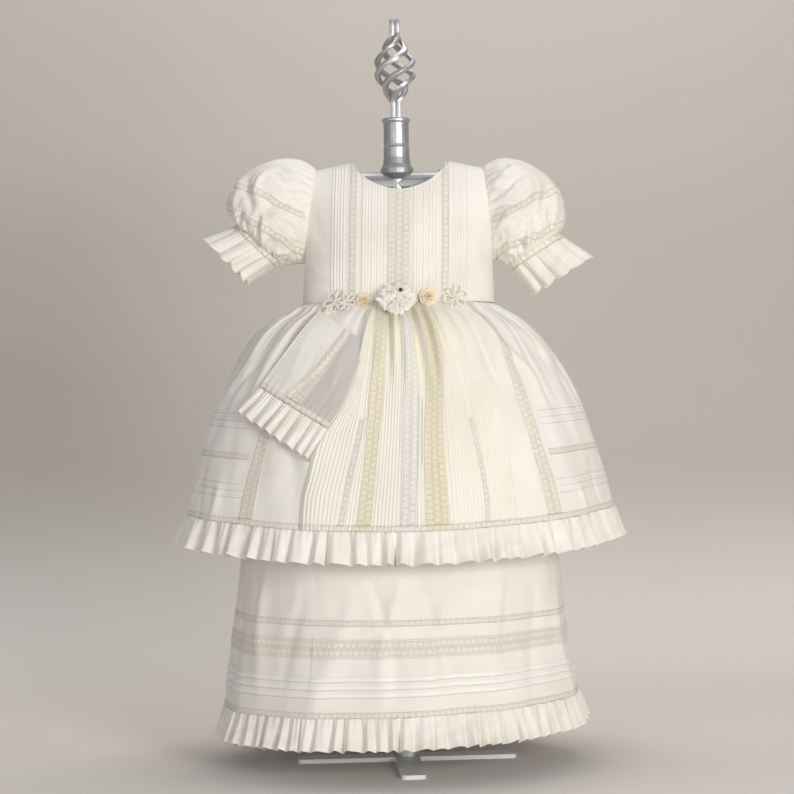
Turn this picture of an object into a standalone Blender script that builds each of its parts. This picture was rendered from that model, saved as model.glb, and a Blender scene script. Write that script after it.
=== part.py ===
"""Baby lace christening gown, filled out and hanging on its metal display stand.

Metres, +Z up. The front of the gown faces -Y and +X is to the viewer's right.
The origin is on the floor, on the axis of the stand's post.
"""
import bisect
import math
from collections import namedtuple

import bmesh
import bpy
import numpy as np

# Walls and seams
GAP = 0.0003
SEAM_GAP = 0.0005
COTTON = 0.0016
RUFFLE_CLOTH = 0.0018

# Stand
BAR_LENGTH = 0.137
BAR_WIDTH = 0.030
BAR_THICKNESS = 0.005
BAR_CORNER = 0.006
BASE_TURN = math.radians(3.2)
PIPE_RADIUS = 0.0167
ARM_CENTRE_Z = 0.7232
ARM_HALF_LENGTH = 0.0995
TEE_BOTTOM_Z = 0.6950
TEE_TOP_Z = 0.7712
COLLAR_TOP_Z = 0.8063
ROD_SIDE = 0.0062
BASKET_BOTTOM_Z = 0.8264
BASKET_TOP_Z = 0.9120
STAND_TOP_Z = 0.9310
BASKET_RADIUS = 0.0235
BASKET_TURN = 2 * math.pi
BASKET_RODS = 4
ROUND_SIDES = 28

# Bodice
WAIST_Z = 0.5722
UNDERARM_Z = 0.6262
UNDERARM_X = 0.1178
SHOULDER_TIP_X = 0.1045
SHOULDER_TIP_Z = 0.7429
SHOULDER_NECK_Z = 0.7525
SHOULDER_SLOPE_FROM_Z = 0.7080
TOP_EDGE_FROM_Z = 0.7000
NECK_HALF_WIDTH = 0.0567
NECK_DROP_FRONT = 0.0405
NECK_DROP_BACK = 0.0205
NECK_ROUNDNESS = 1.8
BODY_SQUARENESS = 2.4
BODICE_ROW_SHARES = (0.0, 0.18, 0.36, 0.54, 0.69, 0.79, 0.87, 0.93, 0.97, 1.0)
PLACKET_HALF_WIDTH = 0.008
PLACKET_THICKNESS = 0.0010
PLACKET_END_INSET = 0.15
BUTTON_RADIUS = 0.005
BUTTON_THICKNESS = 0.0024
BUTTON_SHARES = (0.18, 0.36, 0.54, 0.69)

# Skirts: waves all round, and the columns that carry one wave
WAVE_COLUMNS = 4
WAIST_GATHERS = 28
OVERSKIRT_WAVES = 56
UNDERSKIRT_WAVES = 66
OVERSKIRT_HEM_Z = 0.2620
OVERSKIRT_SIDE_RISE = 0.0160
OVERSKIRT_RUFFLE_DEPTH = 0.0380
UNDERSKIRT_HEM_Z = 0.0425
UNDERSKIRT_HEM_TILT = 0.0055
UNDERSKIRT_RUFFLE_DEPTH = 0.0380
SKIRT_CENTRE_X = -0.0045
GORES = ("front", "right", "back", "left")
FRONT_GORE_SHARE = 0.180
SIDE_GORE_SHARE = 0.225
FOLD_COUNT = 9
FOLD_HEIGHT = 0.0030
FOLD_REACH = 0.2700
UNDERSKIRT_COLUMNS = 48

# Sleeves
SLEEVE_COLUMNS = 24
SLEEVE_PUCKERS = 6
PUCKER_HEIGHT = 0.0011
PUCKER_HEIGHT_AT_CUFF = 0.0004
CUFF_BAND_WIDTH = 0.0080
CUFF_WAVES = 14
CUFF_WAVE_AT_SEAM = 0.0007
CUFF_WAVE_AT_EDGE = 0.0036

# Colours in linear light
IVORY = (0.84, 0.79, 0.69)
CREAM = (0.86, 0.77, 0.58)
SATIN = (0.88, 0.78, 0.60)
PEWTER = (0.42, 0.42, 0.43)
JET = (0.05, 0.045, 0.05)

BodiceRow = namedtuple("BodiceRow", "z half_width half_depth")
BODICE = [
    BodiceRow(WAIST_Z + GAP, 0.1205, 0.0755),
    BodiceRow(0.6000, 0.1195, 0.0785),
    BodiceRow(0.6300, 0.1181, 0.0800),
    BodiceRow(0.6600, 0.1215, 0.0790),
    BodiceRow(0.6880, 0.1255, 0.0715),
    BodiceRow(0.7080, 0.1280, 0.0605),
    BodiceRow(0.7240, 0.1290, 0.0480),
    BodiceRow(0.7390, 0.1290, 0.0325),
    BodiceRow(0.7480, 0.1290, 0.0190),
    BodiceRow(SHOULDER_NECK_Z, 0.1290, 0.0000),
]

# Rows of the overskirt's gores: how far down, and how many wave columns apart its points lie
GoreRow = namedtuple("GoreRow", "share step")
OVERSKIRT_ROWS = [
    GoreRow(0.000, 1),
    GoreRow(0.022, 1),
    GoreRow(0.070, 1),
    GoreRow(0.140, 1),
    GoreRow(0.230, 1),
    GoreRow(0.360, 2),
    GoreRow(0.600, 2),
    GoreRow(0.800, 2),
    GoreRow(1.000, 2),
]
UNDERSKIRT_ROWS_Z = [WAIST_Z - 0.0004, 0.5000, 0.3500, 0.2300, 0.1400]

# Rows of a gathered ruffle: how far down, the height of its waves and how far it stands out
RuffleRow = namedtuple("RuffleRow", "share wave_height flare")
OVERSKIRT_RUFFLE = [RuffleRow(0.0, 0.0012, 0.0), RuffleRow(1.0, 0.0056, 0.0010)]
UNDERSKIRT_RUFFLE = [RuffleRow(0.0, 0.0010, 0.0), RuffleRow(1.0, 0.0046, 0.0008)]
DRAPE_RUFFLE = [RuffleRow(0.0, 0.0006, 0.0), RuffleRow(1.0, 0.0045, 0.0)]

SkirtRow = namedtuple("SkirtRow", "z half_width half_depth gather")
OVERSKIRT = [
    SkirtRow(0.2600, 0.2790, 0.2130, 0.0000),
    SkirtRow(0.3000, 0.2705, 0.2055, 0.0000),
    SkirtRow(0.3300, 0.2635, 0.1995, 0.0000),
    SkirtRow(0.3700, 0.2530, 0.1905, 0.0004),
    SkirtRow(0.4200, 0.2380, 0.1770, 0.0010),
    SkirtRow(0.4700, 0.2165, 0.1590, 0.0018),
    SkirtRow(0.5100, 0.1930, 0.1385, 0.0028),
    SkirtRow(0.5350, 0.1745, 0.1215, 0.0034),
    SkirtRow(0.5530, 0.1535, 0.1025, 0.0034),
    SkirtRow(0.5660, 0.1305, 0.0845, 0.0026),
    SkirtRow(WAIST_Z, 0.1205, 0.0760, 0.0016),
]
UNDERSKIRT = [
    SkirtRow(0.0360, 0.2300, 0.1840, 0.0000),
    SkirtRow(0.0740, 0.2235, 0.1785, 0.0000),
    SkirtRow(0.1100, 0.2175, 0.1735, 0.0000),
    SkirtRow(0.1400, 0.2120, 0.1690, 0.0000),
    SkirtRow(0.1700, 0.2080, 0.1660, 0.0000),
    SkirtRow(0.2500, 0.2010, 0.1600, 0.0000),
    SkirtRow(0.3500, 0.1860, 0.1460, 0.0000),
    SkirtRow(0.5000, 0.1490, 0.1060, 0.0000),
    SkirtRow(WAIST_Z - 0.0004, 0.1161, 0.0716, 0.0000),
]

# Each ring of a sleeve runs through a top and a bottom point of its outline seen from
# the front, and has a half-depth from front to back.
SleeveRing = namedtuple("SleeveRing", "top_x top_z bottom_x bottom_z half_depth")
SLEEVE_LEFT = [
    SleeveRing(-0.1230, 0.7545, -0.1225, 0.6266, 0.0520),
    SleeveRing(-0.1450, 0.7570, -0.1270, 0.6264, 0.0590),
    SleeveRing(-0.1720, 0.7505, -0.1320, 0.6262, 0.0610),
    SleeveRing(-0.1950, 0.7345, -0.1370, 0.6262, 0.0590),
    SleeveRing(-0.2110, 0.7130, -0.1420, 0.6264, 0.0530),
    SleeveRing(-0.2125, 0.6930, -0.1460, 0.6266, 0.0440),
    SleeveRing(-0.1995, 0.6765, -0.1490, 0.6280, 0.0350),
]
SLEEVE_RIGHT = [
    SleeveRing(0.1275, 0.7510, 0.1235, 0.6290, 0.0520),
    SleeveRing(0.1500, 0.7505, 0.1265, 0.6270, 0.0590),
    SleeveRing(0.1740, 0.7410, 0.1295, 0.6250, 0.0610),
    SleeveRing(0.1940, 0.7240, 0.1325, 0.6235, 0.0590),
    SleeveRing(0.2060, 0.7010, 0.1350, 0.6220, 0.0530),
    SleeveRing(0.2080, 0.6770, 0.1370, 0.6205, 0.0440),
    SleeveRing(0.2010, 0.6590, 0.1385, 0.6200, 0.0350),
]
CUFF_END_LEFT = SleeveRing(-0.2400, 0.6545, -0.1905, 0.6065, 0.0400)
CUFF_END_RIGHT = SleeveRing(0.2390, 0.6255, 0.1685, 0.5840, 0.0400)

# The side drape hangs from the waist: its edges as seen from the front, from its top
# end at the waist to its gathered end, and how far it lifts off the skirt.
DrapeRow = namedtuple("DrapeRow", "left_x left_z right_x right_z lift")
SIDE_DRAPE = [
    DrapeRow(-0.0980, 0.5640, -0.0400, 0.5200, 0.0012),
    DrapeRow(-0.1140, 0.5450, -0.0480, 0.4980, 0.0030),
    DrapeRow(-0.1330, 0.5200, -0.0590, 0.4700, 0.0040),
    DrapeRow(-0.1520, 0.4950, -0.0720, 0.4440, 0.0040),
    DrapeRow(-0.1700, 0.4715, -0.0860, 0.4200, 0.0036),
]
DRAPE_RUFFLE_END = DrapeRow(-0.1985, 0.4420, -0.1080, 0.3830, 0.0060)
DRAPE_COLUMNS = 12
DRAPE_WAVES = 8
DRAPE_WAVE_UNEVENNESS = 0.15

# Flowers on the waist seam, by the place of their centre seen from the front
FEATHER_FLOWER_AT = (-0.0030, 0.5725)
FEATHER_FLOWER_RADIUS = 0.0260
FEATHER_FLOWER_HEIGHT = 0.0110
JET_BEAD_AT = (0.0020, 0.5835)
JET_BEAD_RADIUS = 0.0019
ROSES_AT = {"rose_left": (-0.0440, 0.5740), "rose_right": (0.0350, 0.5780)}
ROSE_RADIUS = 0.0085
CORD_FLOWERS_AT = {
    "cord_flower_left": (-0.0765, 0.5740),
    "cord_flower_right": (0.0690, 0.5775),
}
CORD_FLOWER_RADIUS = 0.0150
CORD_RADIUS = 0.0012
PETALS = 6

COLLECTION_NAME = "christening_gown_on_stand"


def clear_scene():
    for item in list(bpy.data.objects):
        bpy.data.objects.remove(item, do_unlink=True)
    for group in list(bpy.data.collections):
        bpy.data.collections.remove(group)


def new_collection(name):
    group = bpy.data.collections.new(name)
    bpy.context.scene.collection.children.link(group)
    return group


def make_material(name, colour, roughness, metallic=0.0, sheen=0.0):
    made = bpy.data.materials.new(name)
    made.use_nodes = True
    shader = made.node_tree.nodes["Principled BSDF"]
    shader.inputs["Base Color"].default_value = (*colour, 1.0)
    shader.inputs["Roughness"].default_value = roughness
    shader.inputs["Metallic"].default_value = metallic
    shader.inputs["Sheen Weight"].default_value = sheen
    return made


def link_to(item, group, finish):
    for owner in list(item.users_collection):
        owner.objects.unlink(item)
    group.objects.link(item)
    if finish:
        item.data.materials.clear()
        item.data.materials.append(finish)


def mesh_object(name, points, faces, group, finish, smooth_angle=40):
    """A closed mesh with its faces turned outward."""
    mesh = bpy.data.meshes.new(name)
    mesh.from_pydata([tuple(map(float, p)) for p in points], [], faces)
    work = bmesh.new()
    work.from_mesh(mesh)
    bmesh.ops.recalc_face_normals(work, faces=work.faces)
    work.to_mesh(mesh)
    work.free()
    mesh.shade_smooth()
    mesh.set_sharp_from_angle(angle=math.radians(smooth_angle))
    item = bpy.data.objects.new(name, mesh)
    link_to(item, group, finish)
    return item


def slope_at(heights, values, i):
    """Slope of a table's column at one of its rows, from the rows on both sides."""
    low = max(i - 1, 0)
    high = min(i + 1, len(values) - 1)
    return (values[high] - values[low]) / (heights[high] - heights[low])


def lookup(table, column, at):
    """One column of a table at a height, eased between its rows."""
    heights = [row.z for row in table]
    values = [getattr(row, column) for row in table]
    at = min(max(at, heights[0]), heights[-1])
    i = min(bisect.bisect_right(heights, at), len(heights) - 1) - 1
    span = heights[i + 1] - heights[i]
    step = (at - heights[i]) / span
    eased = values[i] + (values[i + 1] - values[i]) * step * step * (3 - 2 * step)
    bow_low = step * (1 - step) ** 2 * slope_at(heights, values, i)
    bow_high = step * step * (1 - step) * slope_at(heights, values, i + 1)
    return eased + span * (bow_low - bow_high)


def join_rows(upper, lower, closed):
    """Faces between two rows of point numbers, where the upper one may be twice as fine."""
    faces = []
    coarse = len(lower) if closed else len(lower) - 1
    fine = len(upper) if closed else len(upper) - 1
    for i in range(coarse):
        a, b = lower[i], lower[(i + 1) % len(lower)]
        if fine == coarse:
            faces.append((upper[i], upper[(i + 1) % len(upper)], b, a))
        else:
            left, middle, right = (upper[(2 * i + k) % len(upper)] for k in range(3))
            faces.append((left, middle, a))
            faces.append((middle, b, a))
            faces.append((middle, right, b))
    return faces


def cloth_wall(name, outer, inner, group, finish, closed=False):
    """A closed wall between an outer and an inner surface, each a list of rows of points."""
    points = []
    numbered = []
    for surface in (outer, inner):
        rows = []
        for row in surface:
            rows.append(list(range(len(points), len(points) + len(row))))
            points.extend(row)
        numbered.append(rows)
    outside, inside = numbered
    faces = []
    for surface in numbered:
        for upper, lower in zip(surface, surface[1:]):
            faces.extend(join_rows(upper, lower, closed))
    faces.extend(join_rows(outside[0], inside[0], closed))
    faces.extend(join_rows(outside[-1], inside[-1], closed))
    if not closed:
        for end in (0, -1):
            left = [row[end] for row in outside]
            right = [row[end] for row in inside]
            faces.extend(join_rows(left, right, False))
    return mesh_object(name, points, faces, group, finish)


def wave(angle, count, unevenness=0.28):
    """Height of an uneven wave, between -1 and 1, sampled at its quarter points."""
    slow = math.sin(3 * angle + 1.1) + 0.6 * math.sin(7 * angle + 0.4)
    return (1 + unevenness * slow) * math.sin(count * angle + math.pi / 4)


# The stand

def cross_outline():
    """Outline of the flat cross, with rounded bar ends."""
    half = BAR_WIDTH / 2
    points = []
    for quarter in range(4):
        turn = quarter * math.pi / 2 + BASE_TURN
        corners = [(half, -half)]
        for side in (-1, 1):
            centre = (BAR_LENGTH - BAR_CORNER, side * (half - BAR_CORNER))
            for k in range(4):
                angle = math.pi / 6 * k if side > 0 else -math.pi / 2 + math.pi / 6 * k
                corners.append((centre[0] + BAR_CORNER * math.cos(angle),
                                centre[1] + BAR_CORNER * math.sin(angle)))
        for x, y in corners:
            points.append((x * math.cos(turn) - y * math.sin(turn),
                           x * math.sin(turn) + y * math.cos(turn)))
    return points


def flat_plate(name, outline, low, high, group, finish):
    """A plate of constant thickness from a filled outline."""
    curve = bpy.data.curves.new(name, "CURVE")
    curve.dimensions = "2D"
    curve.fill_mode = "BOTH"
    curve.extrude = (high - low) / 2
    spline = curve.splines.new("POLY")
    spline.points.add(len(outline) - 1)
    for point, (x, y) in zip(spline.points, outline):
        point.co = (x, y, 0, 1)
    spline.use_cyclic_u = True
    item = bpy.data.objects.new(name, curve)
    item.location = (0, 0, (high + low) / 2)
    link_to(item, group, finish)
    return item


def turned(name, profile, group, finish, sides=ROUND_SIDES):
    """A profile of radius and height, top to bottom, turned about the Z axis."""
    mesh = bpy.data.meshes.new(name)
    points = [(radius, 0, z) for radius, z in profile]
    mesh.from_pydata(points, [(i, i + 1) for i in range(len(points) - 1)], [])
    item = bpy.data.objects.new(name, mesh)
    link_to(item, group, finish)
    screw = item.modifiers.new("turn", "SCREW")
    screw.steps = sides
    screw.render_steps = sides
    screw.use_merge_vertices = True
    screw.merge_threshold = 0.00001
    screw.use_smooth_shade = True
    return item


def make_base(group, finish):
    flat_plate("stand_base", cross_outline(), 0.0, BAR_THICKNESS, group, finish)


def make_post(group, finish):
    top = TEE_BOTTOM_Z - GAP
    bottom = BAR_THICKNESS + GAP
    turned("stand_post", [(0, top), (PIPE_RADIUS, top), (PIPE_RADIUS, bottom), (0, bottom)],
           group, finish)


def make_tee(group, cutters, finish):
    """The cast tee: neck, flare and socket turned in one, joined with the arm pipe."""
    profile = [
        (0, TEE_TOP_Z), (0.0158, TEE_TOP_Z), (0.0164, 0.7695), (0.0164, 0.7570),
        (0.0176, 0.7490), (0.0204, 0.7430), (0.0210, 0.7370), (0.0167, 0.7290),
        (PIPE_RADIUS, TEE_BOTTOM_Z), (0, TEE_BOTTOM_Z),
    ]
    tee = turned("stand_tee", profile, group, finish)
    bpy.ops.mesh.primitive_cylinder_add(
        vertices=ROUND_SIDES, radius=PIPE_RADIUS, depth=2 * ARM_HALF_LENGTH,
        location=(0, 0, ARM_CENTRE_Z), rotation=(0, math.pi / 2, 0))
    arm = bpy.context.object
    arm.name = "tee_arm"
    link_to(arm, cutters, None)
    arm.hide_render = True
    arm.display_type = "WIRE"
    join = tee.modifiers.new("arm", "BOOLEAN")
    join.operation = "UNION"
    join.solver = "EXACT"
    join.object = arm


def make_collar(group, finish):
    bottom = TEE_TOP_Z + GAP
    profile = [
        (0, COLLAR_TOP_Z), (0.0172, COLLAR_TOP_Z), (0.0178, COLLAR_TOP_Z - 0.0015),
        (0.0178, COLLAR_TOP_Z - 0.0040), (0.0160, COLLAR_TOP_Z - 0.0058),
        (0.0160, bottom + 0.0025), (0.0150, bottom), (0, bottom),
    ]
    turned("stand_collar", profile, group, finish)


def rod_section(number, z):
    """Four corners of one rod of the twisted basket at a height."""
    inside = min(max((z - BASKET_BOTTOM_Z) / (BASKET_TOP_Z - BASKET_BOTTOM_Z), 0), 1)
    bundle = (ROD_SIDE + GAP) / math.sqrt(2)
    swell = math.sin(math.pi * inside) ** 1.3
    radius = bundle + (BASKET_RADIUS - bundle) * swell
    angle = 2 * math.pi * (number + 0.5) / BASKET_RODS + BASKET_TURN * inside
    climb = BASKET_TURN * radius / (BASKET_TOP_Z - BASKET_BOTTOM_Z)
    widen = 1 + (math.hypot(1, climb) - 1) * min(swell * 1.6, 1)
    out = np.array((math.sin(angle), -math.cos(angle), 0))
    along = np.array((math.cos(angle), math.sin(angle), 0))
    centre = out * radius + np.array((0, 0, z))
    reach = ROD_SIDE / math.sqrt(2)
    return [centre + out * reach, centre + along * reach * widen,
            centre - out * reach, centre - along * reach * widen]


def make_finial(group, finish):
    """Four square rods: a straight bundle, one full turn round the basket, a bundle again."""
    basket_rows = 19
    heights = [COLLAR_TOP_Z + GAP, *np.linspace(BASKET_BOTTOM_Z, BASKET_TOP_Z, basket_rows), STAND_TOP_Z]
    for number in range(BASKET_RODS):
        points = []
        faces = []
        for z in heights:
            points.extend(rod_section(number, z))
        for k in range(len(heights) - 1):
            low = [4 * k + i for i in range(4)]
            high = [4 * (k + 1) + i for i in range(4)]
            faces.extend(join_rows(high, low, True))
        faces.append((0, 1, 2, 3))
        faces.append(tuple(4 * (len(heights) - 1) + i for i in range(4)))
        mesh_object(f"finial_rod_{number + 1}", points, faces, group, finish, smooth_angle=30)


# The bodice

def bodice_centre(z):
    """The bodice sits a little to the right on the arm and straight over the skirt."""
    return -0.001 + 0.005 * (z - WAIST_Z) / (SHOULDER_NECK_Z - WAIST_Z)


def armhole_x(z):
    """Half-width of the bodice where the flat plane of the armhole seam cuts it."""
    share = (z - UNDERARM_Z) / (SHOULDER_TIP_Z - UNDERARM_Z)
    return UNDERARM_X + (SHOULDER_TIP_X - UNDERARM_X) * share


def panel_half_width(z, wall=0.0):
    if z > UNDERARM_Z:
        return armhole_x(z)
    return min(lookup(BODICE, "half_width", z), UNDERARM_X + 0.0030) - wall


def shoulder_drop(x, z):
    """How far the shoulder seam slopes down from the neck to the tip."""
    share = (z - SHOULDER_SLOPE_FROM_Z) / (SHOULDER_NECK_Z - SHOULDER_SLOPE_FROM_Z)
    outward = min(max((abs(x) - NECK_HALF_WIDTH) / (SHOULDER_TIP_X - NECK_HALF_WIDTH), 0), 1)
    return (SHOULDER_NECK_Z - SHOULDER_TIP_Z) * outward * min(max(share, 0), 1)


def neckline_z(x, drop):
    share = min(abs(x) / NECK_HALF_WIDTH, 1)
    return SHOULDER_NECK_Z - drop * (1 - share ** NECK_ROUNDNESS) ** (1 / NECK_ROUNDNESS)


def bodice_point(u, level, side, depth):
    """A point of the bodice: u across (-1 to 1), the level before the shoulder slope,
    side -1 front or 1 back, depth inside the outer surface."""
    near_top = (level - TOP_EDGE_FROM_Z) / (SHOULDER_NECK_Z - TOP_EDGE_FROM_Z)
    sunk = depth * min(max(near_top, 0), 1)
    guess = level - sunk
    reach = panel_half_width(guess, depth)
    for _ in range(3):
        z = guess - shoulder_drop(u * reach, level)
        reach = panel_half_width(z, depth)
    x = u * reach
    full = lookup(BODICE, "half_width", level) - depth
    share = min(abs(x) / full, 1)
    bulge = max(lookup(BODICE, "half_depth", level) - depth, 0)
    y = bulge * (1 - share ** BODY_SQUARENESS) ** (1 / BODY_SQUARENESS)
    return (bodice_centre(z) + x, side * max(y, GAP / 2), z)


def bodice_columns(first, last):
    """Columns across, with one on each end of the neckline."""
    corner = NECK_HALF_WIDTH / armhole_x(SHOULDER_NECK_Z)
    marks = [-1, -0.92, -0.84, -0.76, -0.66, -corner, -0.47, -0.38, -0.27, -0.14, 0]
    marks = marks + [-m for m in reversed(marks[:-1])]
    return [m for m in marks if first <= m <= last]


def bodice_level(u, share, drop):
    """Level of a row in a column: the rows are spread up to the neckline or the shoulder."""
    x = u * armhole_x(SHOULDER_NECK_Z)
    top = SHOULDER_NECK_Z
    if abs(x) < NECK_HALF_WIDTH - 0.0001:
        top = neckline_z(x, drop)
    return BODICE[0].z + (top - BODICE[0].z) * share


def bodice_panel(name, side, drop, columns, group, finish, edge_gap=0.0):
    surfaces = []
    for depth in (0.0, COTTON):
        rows = []
        for share in reversed(BODICE_ROW_SHARES):
            points = []
            for u in columns:
                x, y, z = bodice_point(u, bodice_level(u, share, drop), side, depth)
                if edge_gap and u == 0:
                    x = bodice_centre(z) + edge_gap
                points.append((x, y, z))
            rows.append(points)
        surfaces.append(rows)
    cloth_wall(name, *surfaces, group, finish)


def on_bodice(x, z, side, lift):
    """A place on the bodice's outer surface and its outward direction."""
    centre = bodice_centre(z)
    u = (x - centre) / panel_half_width(z)
    here = np.array(bodice_point(u, z, side, -lift))
    step = 0.002
    across = np.array(bodice_point(u + 0.02, z, side, -lift)) - here
    upward = np.array(bodice_point(u, z + step, side, -lift)) - here
    out = np.cross(across, upward)
    out = out / np.linalg.norm(out)
    if out[1] * side < 0:
        out = -out
    return here, out


def make_bodice(group, finish):
    bodice_panel("bodice_front", -1, NECK_DROP_FRONT, bodice_columns(-1, 1), group, finish)
    for label, first, last, edge in (("left", -1, 0, -GAP / 2), ("right", 0, 1, GAP / 2)):
        columns = bodice_columns(first, last)
        bodice_panel(f"bodice_back_{label}", 1, NECK_DROP_BACK, columns, group, finish, edge)


def frame_around(out):
    """Two directions square to an outward direction: across and upward."""
    across = np.cross((0, 0, 1), out)
    across = across / np.linalg.norm(across)
    return across, np.cross(out, across)


def dome(name, centre, out, profile, sides, group, finish, lobes=0, lobe_depth=0.0):
    """A low turned form on a surface, from rows of radius and height, wavy if it has lobes."""
    across, upward = frame_around(out)
    points = [centre + out * profile[0][1]]
    for radius, height in profile[1:-1]:
        for k in range(sides):
            angle = 2 * math.pi * k / sides
            reach = radius * (1 + lobe_depth * math.cos(lobes * angle))
            points.append(centre + out * height + across * reach * math.cos(angle)
                          + upward * reach * math.sin(angle))
    points.append(centre + out * profile[-1][1])
    rings = len(profile) - 2
    faces = []
    for k in range(sides):
        after = (k + 1) % sides
        faces.append((0, 1 + k, 1 + after))
        for r in range(rings - 1):
            low = 1 + r * sides
            high = low + sides
            faces.append((low + k, high + k, high + after, low + after))
        base = 1 + (rings - 1) * sides
        faces.append((base + k, len(points) - 1, base + after))
    mesh_object(name, points, faces, group, finish)


def make_back_closing(group, cloth, pearl):
    """A plain lapped strip down the centre back, on the panels' own rows, with four buttons."""
    lift = SEAM_GAP
    surfaces = []
    for height in (lift + PLACKET_THICKNESS, lift):
        rows = []
        for share in reversed(BODICE_ROW_SHARES):
            level = bodice_level(0.0, share, NECK_DROP_BACK)
            points = []
            for x in (-PLACKET_HALF_WIDTH, 0.0, PLACKET_HALF_WIDTH):
                here, out = on_bodice(bodice_centre(level) + x, level, 1, 0.0)
                points.append(here + out * height)
            rows.append(points)
        for end, beside in ((0, 1), (-1, -2)):
            rows[end] = [a + (b - a) * PLACKET_END_INSET for a, b in zip(rows[end], rows[beside])]
        surfaces.append(rows)
    cloth_wall("back_placket", *surfaces, group, cloth)
    for number, share in enumerate(BUTTON_SHARES):
        level = bodice_level(0.0, share, NECK_DROP_BACK)
        here, out = on_bodice(bodice_centre(level), level, 1, 0.0)
        seat = lift + PLACKET_THICKNESS + GAP
        height = BUTTON_THICKNESS
        profile = [(0, seat + height), (0.7 * BUTTON_RADIUS, seat + height),
                   (BUTTON_RADIUS, seat + 0.6 * height), (BUTTON_RADIUS, seat + 0.3 * height),
                   (0.8 * BUTTON_RADIUS, seat), (0, seat)]
        dome(f"back_button_{number + 1}", here, out, profile, 12, group, pearl)


# The sleeves

def armhole_ring(side, depth):
    """The sleeve's first ring, in the plane of the armhole seam, just outside it."""
    points = []
    middle = (SHOULDER_TIP_Z + UNDERARM_Z) / 2
    half = (SHOULDER_TIP_Z - UNDERARM_Z) / 2 - depth
    levels = np.linspace(UNDERARM_Z, SHOULDER_NECK_Z, 60)
    edge = [bodice_point(1.0, level, 1, 0.0) for level in levels]
    for k in range(SLEEVE_COLUMNS):
        angle = 2 * math.pi * k / SLEEVE_COLUMNS
        z = middle + half * math.cos(angle)
        y = np.interp(z, [e[2] for e in edge], [e[1] for e in edge]) - depth
        y = max(y, 0.0) * (1 if math.sin(angle) > 0 else -1)
        if abs(math.sin(angle)) < 0.01:
            y = 0.0
        x = bodice_centre(z) + side * (armhole_x(z) + GAP + 0.0001)
        points.append((x, y, z))
    return points


def sleeve_ring(ring, depth, columns, ripple=None):
    """A ring round the arm through its top and bottom points."""
    top = np.array((ring.top_x, 0, ring.top_z))
    bottom = np.array((ring.bottom_x, 0, ring.bottom_z))
    centre = (top + bottom) / 2
    up = top - centre
    half = np.linalg.norm(up)
    up = up / half
    points = []
    for k in range(columns):
        angle = 2 * math.pi * k / columns
        extra = ripple(angle) if ripple else 0.0
        rise = (half - depth + extra) * math.cos(angle)
        deep = (ring.half_depth - depth + extra) * math.sin(angle)
        points.append(centre + up * rise + np.array((0, deep, 0)))
    return points


def shifted(ring, other, share):
    """A ring part of the way from one ring to another."""
    return SleeveRing(*[a + (b - a) * share for a, b in zip(ring, other)])


def ring_middle(ring):
    return ((ring.top_x + ring.bottom_x) / 2, (ring.top_z + ring.bottom_z) / 2)


def make_sleeve(label, side, rings, group, cloth):
    surfaces = []
    for depth in (0.0, COTTON):
        rows = [armhole_ring(side, depth)]
        for ring in rings:
            pucker = PUCKER_HEIGHT_AT_CUFF if ring is rings[-1] else PUCKER_HEIGHT
            rows.append(sleeve_ring(ring, depth, SLEEVE_COLUMNS,
                                    lambda angle: pucker * wave(angle, SLEEVE_PUCKERS)))
        surfaces.append(rows)
    cloth_wall(f"sleeve_{label}", *surfaces, group, cloth, closed=True)


def make_cuff(label, sleeve_end, cuff_end, group, ruffle_cloth, band):
    """The lace band that gathers the sleeve, and the ruffle below it."""
    length = math.dist(ring_middle(sleeve_end), ring_middle(cuff_end))
    seam = SEAM_GAP / length
    band_share = CUFF_BAND_WIDTH / length
    surfaces = []
    for depth in (0.0, COTTON):
        surfaces.append([sleeve_ring(shifted(sleeve_end, cuff_end, share), depth, SLEEVE_COLUMNS)
                         for share in (seam, band_share)])
    cloth_wall(f"sleeve_band_{label}", *surfaces, group, band, closed=True)

    ruffle_start = shifted(sleeve_end, cuff_end, band_share + seam)
    columns = CUFF_WAVES * WAVE_COLUMNS
    surfaces = []
    for depth in (0.0, RUFFLE_CLOTH):
        rows = []
        for ring, height in ((ruffle_start, CUFF_WAVE_AT_SEAM), (cuff_end, CUFF_WAVE_AT_EDGE)):
            rows.append(sleeve_ring(ring, depth, columns,
                                    lambda angle: height * wave(angle, CUFF_WAVES)))
        surfaces.append(rows)
    cloth_wall(f"sleeve_ruffle_{label}", *surfaces, group, ruffle_cloth, closed=True)


# The skirts

def skirt_point(table, angle, z, offset):
    """A point of a skirt: the angle runs from the front towards +X, offset is outward."""
    wide = lookup(table, "half_width", z)
    deep = lookup(table, "half_depth", z)
    out = np.array((math.sin(angle) / wide, -math.cos(angle) / deep))
    out = out / np.linalg.norm(out)
    return np.array((SKIRT_CENTRE_X + wide * math.sin(angle) + out[0] * offset,
                     -deep * math.cos(angle) + out[1] * offset, z))


def seam_turn(table, angle, z):
    """Half of the seam gap, as an angle at this place of the skirt."""
    wide = lookup(table, "half_width", z)
    deep = lookup(table, "half_depth", z)
    return 0.55 * GAP / math.hypot(wide * math.cos(angle), deep * math.sin(angle))


def overskirt_hem(angle):
    return OVERSKIRT_HEM_Z + OVERSKIRT_SIDE_RISE * math.sin(angle) ** 2


def underskirt_hem(angle):
    return UNDERSKIRT_HEM_Z + UNDERSKIRT_HEM_TILT * math.sin(angle)


def fold_height(z):
    """The soft folds of the overskirt grow from nothing at the waist."""
    fall = min(max((WAIST_Z - z) / FOLD_REACH, 0), 1)
    return FOLD_HEIGHT * fall ** 1.5


def overskirt_offset(angle, z):
    """Gathers below the waist that open into a few soft folds towards the hem."""
    gather = lookup(OVERSKIRT, "gather", z) * wave(angle, WAIST_GATHERS)
    return gather + fold_height(z) * math.sin(FOLD_COUNT * angle + 0.9 * math.sin(2 * angle))


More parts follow.
